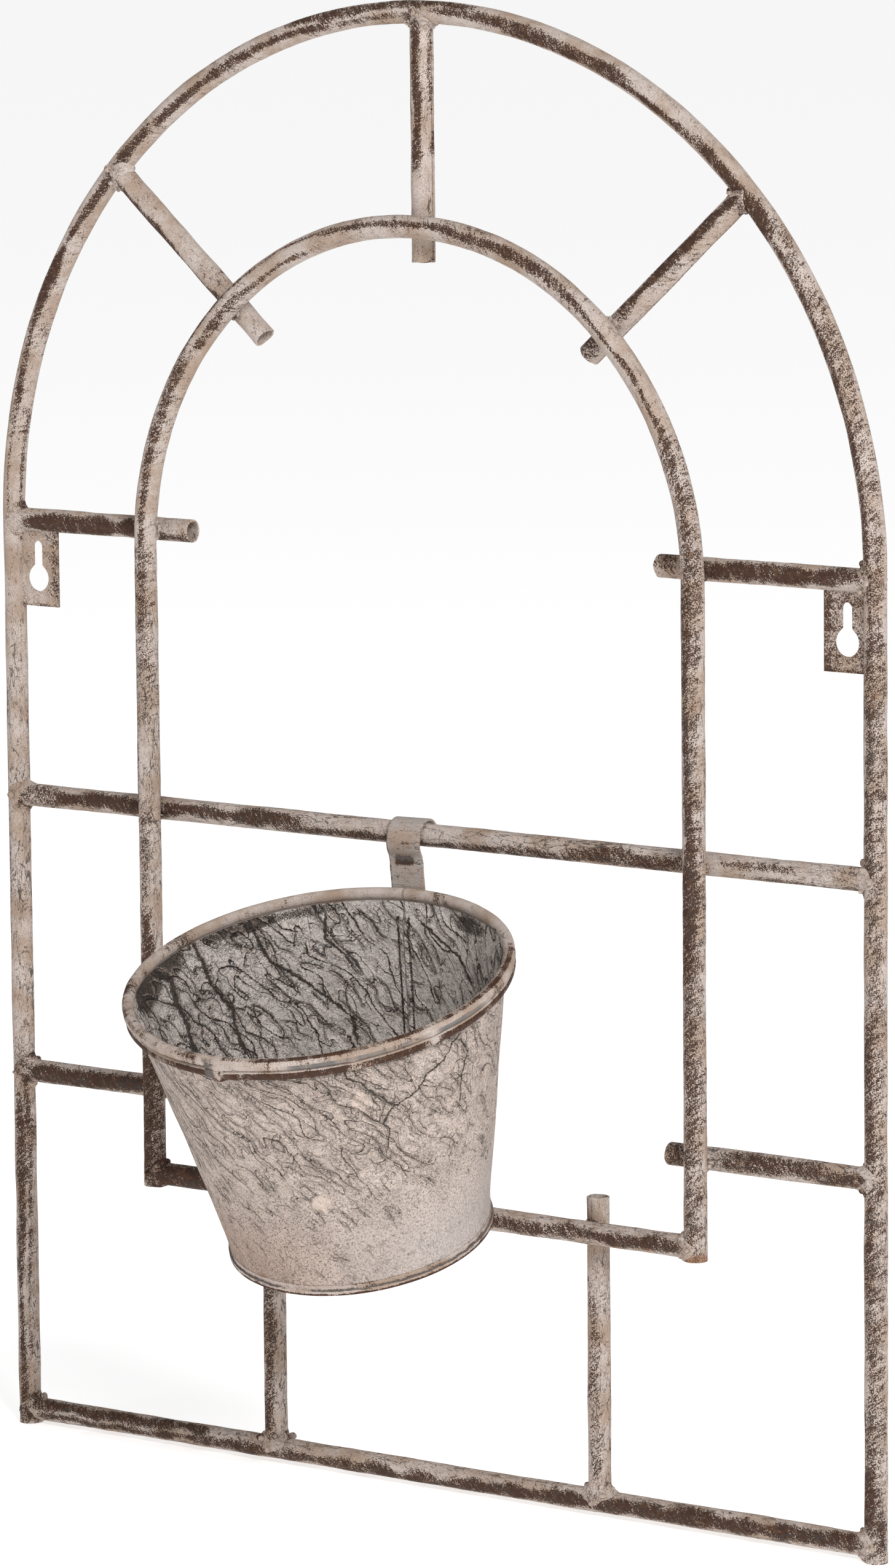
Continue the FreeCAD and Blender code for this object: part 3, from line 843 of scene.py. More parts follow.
def paint_wall(mesh, angle, z, mean_r, flat, pale):
    """The wall's pale spots, brown and cool stains and cracks, for its materials."""
    none = np.zeros_like(pale)
    turned = np.degrees(angle)
    upper = smooth(-105 * MM, -45 * MM, z)
    low = 1 - smooth(-108 * MM, -62 * MM, z)
    outer_cracks = 0.22 + 0.21 * upper - 0.10 * smooth(40, 75, turned)
    inner_cracks = 0.40 + 0.07 * within(turned, -150, -110, -70, -40) + none
    browned = (0.13 + 0.25 * (1 - smooth(-30, 34, turned))) * low * (1 - smooth(35, 65, turned))
    stain = np.maximum(0.62 * patches(angle, z, [STAIN]), browned)
    cool = low * smooth(5, 45, turned)
    painted(mesh, "pale", both_faces(pale, none))
    painted(mesh, "cracks", both_faces(outer_cracks, inner_cracks))
    painted(mesh, "rust", both_faces(stain, none))
    painted(mesh, "cool", both_faces(cool, none))
    outer_single = single_cracks(OUTSIDE_CRACKS, angle, z, mean_r)
    inner_single = single_cracks(INSIDE_CRACKS, angle, z, mean_r)
    outer_veins = wall_veins(flat, OUTSIDE_SLANT, 9.0 * MM, 5.0 * MM, 210, outer_single)
    inner_veins = wall_veins(flat, INSIDE_SLANT, 10.0 * MM, 5.2 * MM, 230, inner_single)
    painted(mesh, "veins", both_faces(outer_veins, inner_veins), "FLOAT_VECTOR")


def make_wall(sizes, pot, outside, inside):
    """The pot's wall as a closed sheet, with the seam as a ridge inside its back."""
    fine = np.radians(np.arange(-SEAM_ZONE, SEAM_ZONE + 0.01, FINE_STEP))
    coarse = np.radians(np.arange(SEAM_ZONE + COARSE_STEP, FULL_CIRCLE - SEAM_ZONE, COARSE_STEP))
    angle = wrapped(math.pi + np.concatenate([fine, coarse]))
    z = np.linspace(pot.wall_foot_z, pot.wall_top_z, WALL_ROWS)[:, None]
    radius = pot.wall_r(z) + 0 * angle
    middle_line = around(angle, radius, z)
    dent = waves(middle_line, 26 * MM, 41) * 0.5 + waves(middle_line, 70 * MM, 42)
    hold = smooth(0, 12 * MM, z - pot.wall_foot_z) * smooth(0, 10 * MM, pot.wall_top_z - z)
    radius = radius + sizes.dent * (dent - dent.max()) * hold
    from_seam = np.abs(wrapped(angle - math.pi)) * radius
    seam_foot = SEAM_FOOT_RISE - sizes.height
    seam_rows = smooth(0, 2 * MM, z - seam_foot) * smooth(0, 2 * MM, -SEAM_TOP_DROP - z)
    ridge = SEAM_RISE * (1 - smooth(SEAM_HALF - 0.5 * MM, SEAM_HALF + 0.1 * MM, from_seam)) * seam_rows
    outer_points = around(angle, radius, z)
    inner_points = around(angle, radius - sizes.sheet - ridge, z)
    mean_r = (sizes.rim + sizes.base) / 2
    unrolled = np.stack(np.broadcast_arrays(angle * mean_r, z, 0.0), -1)
    seam_line = bell(from_seam - SEAM_HALF - 0.5 * MM, 0.6 * MM) * seam_rows
    wear_in = np.maximum(patches(angle, z, INSIDE_WEAR), seam_line)
    # Outside wear, with a band of painted shadow and grime all round just under the rim
    wear_and_rim_shadow_out = patches(angle, z, OUTSIDE_WEAR_AND_RIM_SHADOW)
    pale = np.zeros_like(radius)
    for at, level, size in PALE_SPOTS:
        gap = np.hypot((angle - math.radians(at)) * mean_r, z - level * MM) / (size * MM)
        wear_and_rim_shadow_out = np.maximum(wear_and_rim_shadow_out, 0.46 * bell(gap - 1.12, 0.16))
        pale = np.maximum(pale, 1 - smooth(0.72, 1.05, gap))
    faces = loft_faces(2 * WALL_ROWS, len(angle), True)
    outer_faces = (WALL_ROWS - 1) * len(angle)
    looks = [0] * outer_faces + [1] * (len(faces) - outer_faces)
    shell = Shell()
    points = pot.hung(both_faces(outer_points, inner_points))
    runs = both_faces(unrolled, unrolled + INSIDE_SHIFT)
    shell.add(points, runs, both_faces(wear_and_rim_shadow_out, wear_in), faces, looks)
    made = piece("pot_wall_painted", shell, [outside, inside], "pot", ["pot_wall"])
    paint_wall(made.data, angle, z, mean_r, unrolled[..., :2], pale)
    return made


def arc(centre_r, centre_z, size, start, end, count):
    """Points of an outline on a round, from one angle to another in degrees."""
    turn = np.radians(np.linspace(start, end, count))
    return [(centre_r + size * math.cos(t), centre_z + size * math.sin(t)) for t in turn]


def revolve(name, sizes, pot, outline, wear, angle, joint, material, nodes, closed, seed):
    """A ring or disc from an outline of radius and height, with its wear given along it and round it."""
    outline = np.asarray(outline)
    radius = outline[:, 0:1] + 0 * angle
    z = outline[:, 1:2] + 0 * angle
    flat = around(angle, radius, z)
    rough = waves(flat, 15 * MM, seed) * 0.06 * MM
    # On the base ring, mark and the grey carry painted shade in the crease along its top edge
    swell, sag, mark, keep, bare_metal_and_shade = joint(angle, z)
    lift = radius + (swell + rough) * smooth(0.02, 0.04, radius)
    lift = np.minimum(lift, outline[:, 0].max() - 0.2 * MM)
    points = pot.hung(around(angle, lift, z - sag))
    steps = distances(outline)
    unrolled = np.stack(np.broadcast_arrays(angle * sizes.rim + seed, steps[:, None], 0.0), -1)
    runs = unrolled if closed else flat
    wander = 0.15 * waves(runs * np.array([1.0, 0.4, 1.0]), 14 * MM, seed + 3)
    wander = wander + 0.09 * waves(runs, 5 * MM, seed + 4)
    wears = wear + wander
    count = len(angle)
    faces = loft_faces(len(outline), count, True) if closed else capped_faces(len(outline), count)
    shell = Shell()
    shell.add(points, runs, np.maximum(wears * keep, mark), faces)
    made = piece(name, shell, [material], "pot", nodes)
    painted(made.data, "bare_metal_and_shade", bare_metal_and_shade)
    return made


RIM_JOINT = math.radians(-3.4)
# Lumps in the rim's groove: where, in degrees, and how big
GROOVE_LUMPS = ((62.5, 1.0), (37.0, 0.6))
# The outline's two arcs: from and to, in degrees, and the number of points
LOWER_ARC = (-80, 62, 18)
UPPER_ARC = (-52, 232, 30)
RIM_SIDES = 480
BASE_SIDES = 420
LEDGE_DROP = 2.1 * MM
PIN_R = 0.3 * MM


def make_rim(sizes, pot, material):
    """The rim's two rolls, rubbed along them in one way on the left and another on the right."""
    upper_r = sizes.rim - UPPER_ROLL_R
    upper_z = -UPPER_ROLL_R
    lower_r = upper_r - LOWER_ROLL_INSET
    lower_z = upper_z - LOWER_ROLL_DROP
    under = lower_z - LOWER_ROLL_R * 0.9
    outline = [
        (pot.wall_r(under) - 0.4 * MM, under),
        *arc(lower_r, lower_z, LOWER_ROLL_R, *LOWER_ARC),
        (upper_r + UPPER_ROLL_R * 0.42, (upper_z + lower_z) / 2 + 0.1 * MM),
        *arc(upper_r, upper_z, UPPER_ROLL_R, *UPPER_ARC),
        (pot.wall_top_r - 0.35 * MM, pot.wall_top_z - 0.4 * MM)]
    lower = np.linspace(*LOWER_ARC)
    upper = np.linspace(*UPPER_ARC)
    left_top = np.select([upper < -28, upper < 20, upper < 62], [0.75, 0.26, 0.46], 0.30)
    right_top = np.select([upper < 6, upper < 52, upper < 96], [0.30, 0.20, 0.76], 0.24)
    left = np.array([0.4, *np.where(lower < 36, 0.95, 0.16), 0.80, *left_top, 0.2])[:, None]
    right = np.array([0.4, *np.where(lower < 34, 0.95, 0.16), 0.95, *right_top, 0.2])[:, None]
    grey_rows = np.array([0.0, *np.where(lower > 50, 0.6, 0.0), 0.0, *np.where(upper < 6, 1.0, 0.0), 0.0])
    angle = np.linspace(-math.pi, math.pi, RIM_SIDES, endpoint=False)
    turned = np.degrees(angle)
    to_right = within(turned, -4, -1, 112, 130)
    far_side = smooth(104, 128, np.abs(turned))
    wear = (left + (right - left) * to_right) * (1 - 0.80 * far_side)

    def joint(turn, z):
        """The rolled edges meet in a dark plug and a pale knob that stands out below them."""
        past = np.degrees(wrapped(turn - RIM_JOINT))
        tab = within(past, 0.4, 1.2, 4.0, 9.0)
        knob = bell(past, 1.5)
        plug = within(past, -4.8, -4.2, -1.6, -0.9)
        band = within(z, -10 * MM, -8 * MM, -3 * MM, -0.5 * MM)
        rough = waves(around(turn, sizes.rim, z), 2.4 * MM, 67)
        lumps = np.zeros_like(z)
        for at, size in GROOVE_LUMPS:
            lumps = np.maximum(lumps, size * bell(np.degrees(turn) - at, 1.7))
        in_groove = within(z, -6.2 * MM, -5.2 * MM, -3.4 * MM, -2.4 * MM)
        swell = ((1.5 + 0.30 * rough) * knob + 0.9 * plug + 0.6 * tab) * MM * band
        swell = swell + (0.9 + 0.30 * rough) * MM * lumps * in_groove
        sag = (1.4 * knob + 0.3 * tab) * MM * (1 - smooth(-6 * MM, -3.5 * MM, z))
        knob_wash = knob * smooth(-8.4 * MM, -7.4 * MM, z)
        keep = (1 - 0.9 * knob_wash) * (1 - 0.9 * lumps)
        worn_metal = 0.75 + 0.35 * waves(around(turn, sizes.rim, 0 * z), 9 * MM, 68)
        metal = within(turned, 15, 21, 84, 92) * (1 - lumps)
        grey = grey_rows[:, None] * np.clip(worn_metal, 0, 1) * metal
        tall = within(z, -8.6 * MM, -8.0 * MM, -0.9 * MM, -0.3 * MM)
        filled = plug * tall * np.clip(0.8 + 0.25 * rough, 0, 1)
        hollow = bell(past - 0.5, 0.6) * bell(z + 5.4 * MM, 0.9 * MM)
        return swell, sag, 0.9 * np.maximum(filled, hollow), keep, np.maximum(grey, 0.62 * filled)

    return revolve(
        "pot_rim_rolled", sizes, pot, outline, wear, angle, joint, material, ["pot_rim_band"], True, 61)


def make_base(sizes, pot, material):
    """The pot's floor with the ring round its foot, from the floor's top out and under to its underside."""
    foot = -sizes.height
    ring_in = pot.wall_foot_r - sizes.sheet - BASE_RING_INSIDE
    floor = foot + BASE_RECESS
    top = foot + BASE_RING_H
    ledge = top - LEDGE_DROP
    edge = 0.6 * MM
    outline = [(PIN_R, floor + sizes.sheet)]
    outline += [(ring_in * share, floor + sizes.sheet) for share in (0.2, 0.4, 0.6, 0.8, 0.97)]
    outline += [(ring_in, floor + sizes.sheet + edge), (ring_in + edge, top)]
    outline += [(sizes.base - 1.4 * MM, top), (pot.wall_r(top) + 0.1 * MM, top)]
    outline += [(pot.wall_r(top - drop * MM) + 0.14 * MM, top - drop * MM) for drop in (0.5, 1.1, 1.5, 1.8)]
    for inset, rise in ((0.75, 0.1), (0.35, -0.05), (0.12, -0.35), (0.1, -0.8)):
        outline.append((sizes.base - inset * MM, ledge + rise * MM))
    outline += [(sizes.base - 0.1 * MM, foot + rise * MM) for rise in (1.2, 0.75)]
    outline += arc(sizes.base - 0.6 * MM, foot + 0.5 * MM, 0.5 * MM, 0, -90, 6)
    outline += [(ring_in + edge, foot), (ring_in, foot + edge), (ring_in, floor - 0.1 * MM)]
    outline += [(ring_in * share, floor) for share in (0.97, 0.8, 0.6, 0.4, 0.2)]
    outline.append((PIN_R, floor))
    wear = [0.2] * 6 + [0.5, 0.6] + [0.6, 0.3] + [0.14] * 4 + [0.14, 0.12, 0.12, 0.12, 0.20, 0.80]
    wear += [0.95, 1.0, 1.0, 1.0, 1.0, 0.8] + [0.7, 0.6, 0.5] + [0.25] * 6
    angle = np.linspace(-math.pi, math.pi, BASE_SIDES, endpoint=False)

    def joint(turn, z):
        """The ring's top edge waves in scallops, and a dark grey line along it is painted shade in the crease
        there.
        """
        round_it = around(turn, sizes.base, 0 * z)
        scallop = np.abs(waves(round_it, 7 * MM, 91)) + 0.4 * waves(round_it, 3 * MM, 92)
        near = bell(z - ledge, 0.6 * MM)
        covered = bell(np.degrees(turn) + 2, 7)
        # Painted shade in the crease along the ring's top edge, left out near the front where covered is high
        line = bell(z - ledge, 0.34 * MM) * (1 - covered)
        return 0.0 * z, 0.22 * MM * scallop * near, 0.95 * line, 1.0, 0.65 * line

    return revolve(
        "pot_base_ringed", sizes, pot, outline, np.array(wear)[:, None], angle, joint, material, ["pot_base"],
        False, 83)


def strap_line(sizes, pot):
    """The strap's wall side face in the pot's middle plane, as back and height pairs with rounded bends."""
    foot_z = -STRAP_FOOT_DROP
    jog_z = -RIM_H - STRAP_JOG_DROP
    across = math.cos(LOOP_START) * pot.loop_r
    drop = math.sin(LOOP_START) * pot.loop_r
    loop = pot.loop[1:]
    corners = [
        (pot.wall_r(foot_z), foot_z), (pot.wall_r(jog_z), jog_z),
        (sizes.rim + STRAP_RIM_GAP, -RIM_H), (loop[0] - across, loop[1] - drop)]
    line = []
    for start, end in zip(corners[:-1], corners[1:]):
        count = max(int(math.dist(start, end) / (0.8 * MM)), 2)
        share = np.linspace(0, 1, count, endpoint=False)[:, None]
        line.append(np.array(start) * (1 - share) + np.array(end) * share)
    turn = np.linspace(math.pi + LOOP_START, 0, 44)
    line.append(loop + pot.loop_r * np.stack([np.cos(turn), np.sin(turn)], -1))
    tail = np.linspace(0, 1, 9)[1:, None]
    line.append(loop + np.array([pot.loop_r, 0.0]) - tail * np.array([0.0, TAIL_LENGTH]))
    return np.concatenate(line)


CREASE_DROP = 7.0 * MM
STRAP_COLUMNS = 19


def make_hook(sizes, pot, material):
    """The strap along its line, with a shallow crease and rubbed wash where it turns to the loop."""
    line = strap_line(sizes, pot)
    steps = distances(line)
    heading = np.gradient(line, steps, axis=0)
    heading /= np.linalg.norm(heading, axis=1)[:, None]
    inward = np.stack([heading[:, 1], -heading[:, 0]], -1)
    half = sizes.strap_width / 2
    edge = 0.3 * MM
    corner = 0.3 * edge
    flat = np.linspace(-half + edge, half - edge, STRAP_COLUMNS)
    border = [
        (half - corner, corner), (half, edge),
        (half, sizes.strap - edge), (half - corner, sizes.strap - corner)]
    sides = [(u, 0.0) for u in flat] + border
    sides += [(u, sizes.strap) for u in flat[::-1]] + [(-u, v) for u, v in border[::-1]]
    sides = np.array(sides)
    ends = np.minimum(steps, steps[-1] - steps)
    narrow = 1 - 0.10 * (1 - smooth(0, 1.6 * MM, ends))
    from_crease = np.abs(line[:, 1] - (LOOP_RISE - CREASE_DROP))
    on_tail = line[:, 0] > pot.loop[1]
    kink = steps - steps[np.argmin(from_crease + on_tail)]
    crease = -0.35 * MM * bell(kink, 1.6 * MM)
    bow = 0.12 * MM * waves(steps[:, None], 12 * MM, 7)
    depth = sides[None, :, 1:2] - crease[:, None, None] + bow[:, None, None] * 0.3
    along = line[:, None, :] + inward[:, None, :] * depth
    local = np.concatenate([sides[None, :, 0:1] * narrow[:, None, None] + 0 * along[..., :1], along], -1)
    points = pot.hung(local)
    runs = np.stack(np.broadcast_arrays(sides[None, :, 0] + 3.1, steps[:, None], sides[None, :, 1]), -1)
    aside = sides[None, :, 0]
    rim_wear = smooth(half - 1.4 * MM, half, np.abs(aside)) * np.where(aside > 0, 0.20, 0.55)
    above = kink[:, None]
    span = 1 - smooth(3.2 * MM, 5.6 * MM, np.abs(aside + 0.5 * MM))
    band = bell(above - 0.3 * MM, 1.4 * MM) * span
    grey = bell(above - 2.2 * MM, 1.6 * MM) * span
    scratch = bell(above - 9.5 * MM, 0.6 * MM) * (1 - smooth(1.8 * MM, 3.0 * MM, np.abs(aside - MM)))
    wears = np.maximum.reduce([rim_wear + 0 * above, 0.95 * band, 0.80 * grey, 0.66 * scratch]) + 0.10
    shell = Shell()
    shell.add(points, runs, wears, capped_faces(len(line), len(sides)))
    made = piece("pot_hook_strap", shell, [material], "pot", ["pot_hook"])
    painted(made.data, "bare_metal_and_shade", 0.60 * grey)
    return made


# Keyhole plates

KEYHOLE_X = 205.0 * MM
HOLE_R = 5.75 * MM
SLOT_W = 5.0 * MM
SLOT_RISE = 16.0 * MM
PLATE_T = 1.5 * MM
PLATE_SIDE = 194.25 * MM
PLATE_FOOT = -12.05 * MM
PLATE_SINK = 1.4 * MM
PLATE_BEVEL = 0.18 * MM


def keyhole_outline():
    """The keyhole from its middle: a round hole with cut corners up to a slot with a round end."""
    corner = HOLE_R * math.sqrt(0.5)
    slot_half = SLOT_W / 2
    shoulder = 2 * corner - slot_half
    slot_end = SLOT_RISE - slot_half

    def hole_part(start, end):
        return [(HOLE_R * math.sin(t), -HOLE_R * math.cos(t)) for t in np.linspace(start, end, 26)]

    turns = np.linspace(0, math.pi, 16)
    outline = hole_part(0, 0.75 * math.pi)
    outline.append((slot_half, shoulder))
    outline += [(slot_half * math.cos(t), slot_end + slot_half * math.sin(t)) for t in turns]
    outline.append((-slot_half, shoulder))
    return outline + hole_part(1.25 * math.pi, TURN)[:-1]


def make_plate(side, word, material):
    """A flat plate with its keyhole, made from a filled outline with a small bevel."""
    top = SHOULDER_Z - TUBE_R + PLATE_SINK
    far = OUTER_HALF - TUBE_R + PLATE_SINK
    flat = bpy.data.curves.new(word + "_plate_outline", "CURVE")
    flat.dimensions = "2D"
    flat.fill_mode = "BOTH"
    flat.extrude = PLATE_T / 2 - PLATE_BEVEL
    flat.bevel_depth = PLATE_BEVEL
    flat.bevel_resolution = 2
    flat.offset = -PLATE_BEVEL
    corners = ((PLATE_SIDE, PLATE_FOOT), (far, PLATE_FOOT), (far, top), (PLATE_SIDE, top))
    add_loop(flat, [(side * x, z, 0.0) for x, z in corners])
    add_loop(flat, [(side * (KEYHOLE_X + x), z, 0.0) for x, z in keyhole_outline()])
    mesh = plain_mesh(bpy.data.objects.new(word + "_plate_outline", flat))
    mesh.transform(Matrix.Rotation(math.pi / 2, 4, "X"))
    mesh.name = word + "_keyhole_plate"
    mesh.materials.clear()
    mesh.materials.append(material)
    made = bpy.data.objects.new(word + "_keyhole_plate", mesh)
    return placed(made, "frame", [word + "_hanger_plate"])


# Finishes


# Where the mix node keeps its sockets for colours
MIX_FACTOR, MIX_FIRST, MIX_SECOND, MIX_RESULT = 0, 6, 7, 2


class Graph:
    """Short calls for building a node tree. A value may be a number, a colour or another node's socket."""

    def __init__(self, tree):
        self.tree = tree

    def add(self, kind, **settings):
        node = self.tree.nodes.new(kind)
        for key, value in settings.items():
            setattr(node, key, value)
        return node

    def feed(self, socket, value):
        if isinstance(value, bpy.types.NodeSocket):
            self.tree.links.new(value, socket)
        else:
            socket.default_value = value

    def fill(self, node, values):
        for label, value in values.items():
            self.feed(node.inputs[label], value)
        return node

    def node(self, kind, values, **settings):
        """Adds a node and feeds its inputs, by their names or numbers."""
        return self.fill(self.add(kind, **settings), values)

    def group(self, tree, values):
        return self.node("ShaderNodeGroup", values, node_tree=tree).outputs

    def math(self, operation, one, two=0.0, three=0.0):
        return self.node("ShaderNodeMath", {0: one, 1: two, 2: three}, operation=operation).outputs[0]

    def ease(self, value, low, high, start=0.0, end=1.0):
        values = {"Value": value, "From Min": low, "From Max": high, "To Min": start, "To Max": end}
        return self.node("ShaderNodeMapRange", values, interpolation_type="SMOOTHSTEP").outputs["Result"]

    def mix(self, factor, one, two, blend="MIX"):
        values = {MIX_FACTOR: factor, MIX_FIRST: one, MIX_SECOND: two}
        return self.node("ShaderNodeMix", values, data_type="RGBA", blend_type=blend).outputs[MIX_RESULT]

    def tint(self, color, mask, share, over):
        """A colour with another laid over it where a mask says, as strongly as its share."""
        return self.mix(self.math("MULTIPLY", mask, share), color, tuple(over))

    def noise(self, vector, scale, detail=2.0, rough=0.5, output="Fac"):
        values = {"Vector": vector, "Scale": scale, "Detail": detail, "Roughness": rough}
        return self.node("ShaderNodeTexNoise", values).outputs[output]

    def drawn_out(self, vector, turn, lengths):
        """Coordinates turned by an angle about each axis and drawn out by a length along each."""
        values = {"Vector": vector, "Rotation": turn, "Scale": lengths}
        return self.node("ShaderNodeMapping", values, vector_type="TEXTURE").outputs[0]

    def vector(self, operation, one, two):
        second = "Scale" if operation == "SCALE" else 1
        return self.node("ShaderNodeVectorMath", {0: one, second: two}, operation=operation).outputs[0]

    def grey(self, value):
        return self.node("ShaderNodeCombineColor", {0: value, 1: value, 2: value}).outputs[0]

    def parts(self, vector):
        return self.node("ShaderNodeSeparateXYZ", {"Vector": vector}).outputs

    def own_place(self):
        return self.add("ShaderNodeTexCoord").outputs["Object"]

    def attribute(self, name, output):
        return self.add("ShaderNodeAttribute", attribute_name=name).outputs[output]


def new_group(name, inputs, outputs):
    """A shader node group with its sockets, and its tree's calls, given values and results."""
    tree = bpy.data.node_groups.new(name, "ShaderNodeTree")
    for label, kind in inputs:
        tree.interface.new_socket(label, in_out="INPUT", socket_type="NodeSocket" + kind)
    for label, kind in outputs:
        tree.interface.new_socket(label, in_out="OUTPUT", socket_type="NodeSocket" + kind)
    nodes = Graph(tree)
    return tree, nodes, nodes.add("NodeGroupInput").outputs, nodes.add("NodeGroupOutput").inputs


def worn_wash_group():
    """Pale wash over a dark coat, rubbed through where Wear is high, with brush marks and specks."""
    tree, nodes, given, result = new_group(
        "Worn wash",
        [("Coordinates", "Vector"), ("Wear", "Float"), ("Brush", "Float"), ("Specks", "Float"),
         ("Wash", "Color"), ("Thin wash", "Color"), ("Under coat", "Color"), ("Rust", "Color")],
        [("Color", "Color"), ("Roughness", "Float"), ("Height", "Float"), ("Worn", "Float")])
    place = given["Coordinates"]
    strokes = nodes.drawn_out(place, (0.0, math.radians(52), 0.0), (5.5 * MM, 5.5 * MM, 0.9 * MM))
    brush = nodes.ease(nodes.noise(strokes, 1.0, 3.0, 0.6), 0.3, 0.7, -0.5, 0.5)
    blot = nodes.ease(nodes.noise(place, 150.0, 3.0, 0.6), 0.3, 0.7, -0.5, 0.5)
    grain = nodes.ease(nodes.noise(place, 1900.0, 2.0, 0.65), 0.34, 0.66, -0.5, 0.5)
    fine = nodes.noise(place, 2900.0, 1.0, 0.5)
    total = nodes.math("MULTIPLY_ADD", brush, given["Brush"], given["Wear"])
    total = nodes.math("MULTIPLY_ADD", blot, 0.30, total)
    specks = nodes.math("MULTIPLY", given["Specks"], nodes.ease(given["Wear"], 0.10, 0.55, 0.45, 1.0))
    total = nodes.math("MULTIPLY_ADD", grain, specks, total)
    worn = nodes.ease(total, 0.37, 0.72)
    cloud = nodes.noise(place, 48.0, 3.0, 0.6)
    wash = nodes.mix(nodes.ease(cloud, 0.40, 0.66), given["Wash"], given["Thin wash"])
    wash = nodes.mix(nodes.ease(total, 0.08, 0.46, 0.0, 0.5), wash, given["Thin wash"])
    shade = nodes.math("MULTIPLY_ADD", grain, -0.30, nodes.math("MULTIPLY_ADD", fine, 0.44, 0.76))
    wash = nodes.mix(1.0, wash, nodes.grey(shade), "MULTIPLY")
    dark = nodes.ease(nodes.noise(place, 420.0, 2.0), 0.45, 0.8, 0.0, 0.24)
    under = nodes.mix(dark, given["Under coat"], given["Rust"])
    color = nodes.mix(nodes.math("MULTIPLY", worn, 0.95), wash, under)
    stain = nodes.ease(nodes.noise(place, 190.0, 2.0), 0.64, 0.78, 0.0, 0.3)
    color = nodes.mix(stain, color, given["Rust"])
    nodes.feed(result["Color"], color)
    nodes.feed(result["Roughness"], nodes.math("MULTIPLY_ADD", worn, -0.16, 0.80))
    height = nodes.math("MULTIPLY_ADD", worn, -0.6, nodes.math("MULTIPLY", fine, 0.35))
    nodes.feed(result["Height"], nodes.math("MULTIPLY_ADD", blot, 0.3, height))
    nodes.feed(result["Worn"], worn)
    return tree


def crackle_group():
    """Wandering cracks in a dried wash, as a mask of lines and a height of curling flakes."""
    tree, nodes, given, result = new_group(
        "Crackled wash",
        [("Coordinates", "Vector"), ("Density", "Float"), ("Amount", "Float"), ("Width", "Float")],
        [("Lines", "Float"), ("Height", "Float")])
    place = given["Coordinates"]
    half = (0.5, 0.5, 0.5)
    big = nodes.vector("SUBTRACT", nodes.noise(place, 75.0, 2.0, 0.5, "Color"), half)
    small = nodes.vector("SUBTRACT", nodes.noise(place, 420.0, 3.0, 0.6, "Color"), half)
    bent = nodes.vector("ADD", place, nodes.vector("SCALE", big, 12.0 * MM))
    bent = nodes.vector("ADD", bent, nodes.vector("SCALE", small, 3.4 * MM))
    lines = 0.0
    flakes = 0.0
    for size, wide, share in ((1.0, 1.0, 0.5), (2.2, 1.4, 0.3), (4.6, 1.7, 0.2)):
        level = nodes.noise(bent, nodes.math("MULTIPLY", given["Density"], size), 2.0, 0.5)
        edge = nodes.math("ABSOLUTE", nodes.math("SUBTRACT", level, 0.5))
        spread = nodes.math("ADD", nodes.noise(place, 85.0 * size, 3.0, 0.6), given["Amount"])
        breadth = nodes.ease(spread, 0.80, 1.10, 0.001, nodes.math("MULTIPLY", given["Width"], wide))
        crack = nodes.ease(edge, nodes.math("MULTIPLY", breadth, 0.4), breadth, 1.0, 0.0)
        crack = nodes.math("MULTIPLY", crack, nodes.ease(spread, 0.80, 0.94))
        lines = nodes.math("MAXIMUM", lines, crack)
        step = nodes.ease(level, 0.5 - 0.03 * size, 0.5 + 0.03 * size)
        flakes = nodes.math("MULTIPLY_ADD", step, share, flakes)
    nodes.feed(result["Lines"], lines)
    nodes.feed(result["Height"], nodes.math("MULTIPLY_ADD", lines, -0.6, flakes))
    return tree


def vein_group():
    """A crack along a line, from the distance to it, with a lip of wash on one side of it that gets a painted
    highlight and a trough on the other side that gets painted shade; both also shape the relief.
    """
    tree, nodes, given, result = new_group(
        "Wash vein",
        [("Coordinates", "Vector"), ("Distance", "Float"), ("Amount", "Float"), ("Width", "Float"),
         ("Wander", "Float")],
        [("Line", "Float"), ("Lip bump and highlight", "Float"), ("Trough bump and shade", "Float")])
    place = given["Coordinates"]
    sway = nodes.math("SUBTRACT", nodes.noise(place, 260.0, 3.0, 0.6), 0.5)
    jag = nodes.math("SUBTRACT", nodes.noise(place, 900.0, 2.0, 0.6), 0.5)
    aside = nodes.math("MULTIPLY_ADD", sway, given["Wander"], given["Distance"])
    aside = nodes.math("MULTIPLY_ADD", nodes.math("MULTIPLY", jag, 0.65), given["Wander"], aside)
    spread = nodes.math("ADD", nodes.noise(place, 105.0, 3.0, 0.6), given["Amount"])
    least = nodes.math("MULTIPLY", given["Width"], 0.45)
    breadth = nodes.ease(spread, 0.84, 1.16, least, given["Width"])
    gap = nodes.math("ABSOLUTE", aside)
    line = nodes.ease(gap, nodes.math("MULTIPLY", breadth, 0.5), breadth, 1.0, 0.0)
    there = nodes.ease(spread, 0.78, 0.90)
    # Lip: painted highlight and raised relief on the positive side; trough: painted shade and sunk relief on
    # the negative side
    lip_out = nodes.ease(aside, 0.3 * MM, 2.2 * MM, 1.0, 0.0)
    lip_bump_and_highlight = nodes.math("MULTIPLY", nodes.ease(aside, -0.1 * MM, 0.2 * MM), lip_out)
    trough_end = nodes.ease(aside, 0.0, 0.2 * MM, 1.0, 0.0)
    trough_bump_and_shade = nodes.math("MULTIPLY", nodes.ease(aside, -1.3 * MM, -0.1 * MM), trough_end)
    for label, mask in (("Line", line), ("Lip bump and highlight", lip_bump_and_highlight), ("Trough bump and shade", trough_bump_and_shade)):
        nodes.feed(result[label], nodes.math("MULTIPLY", mask, there))
    return tree


SHEEN = 0.09


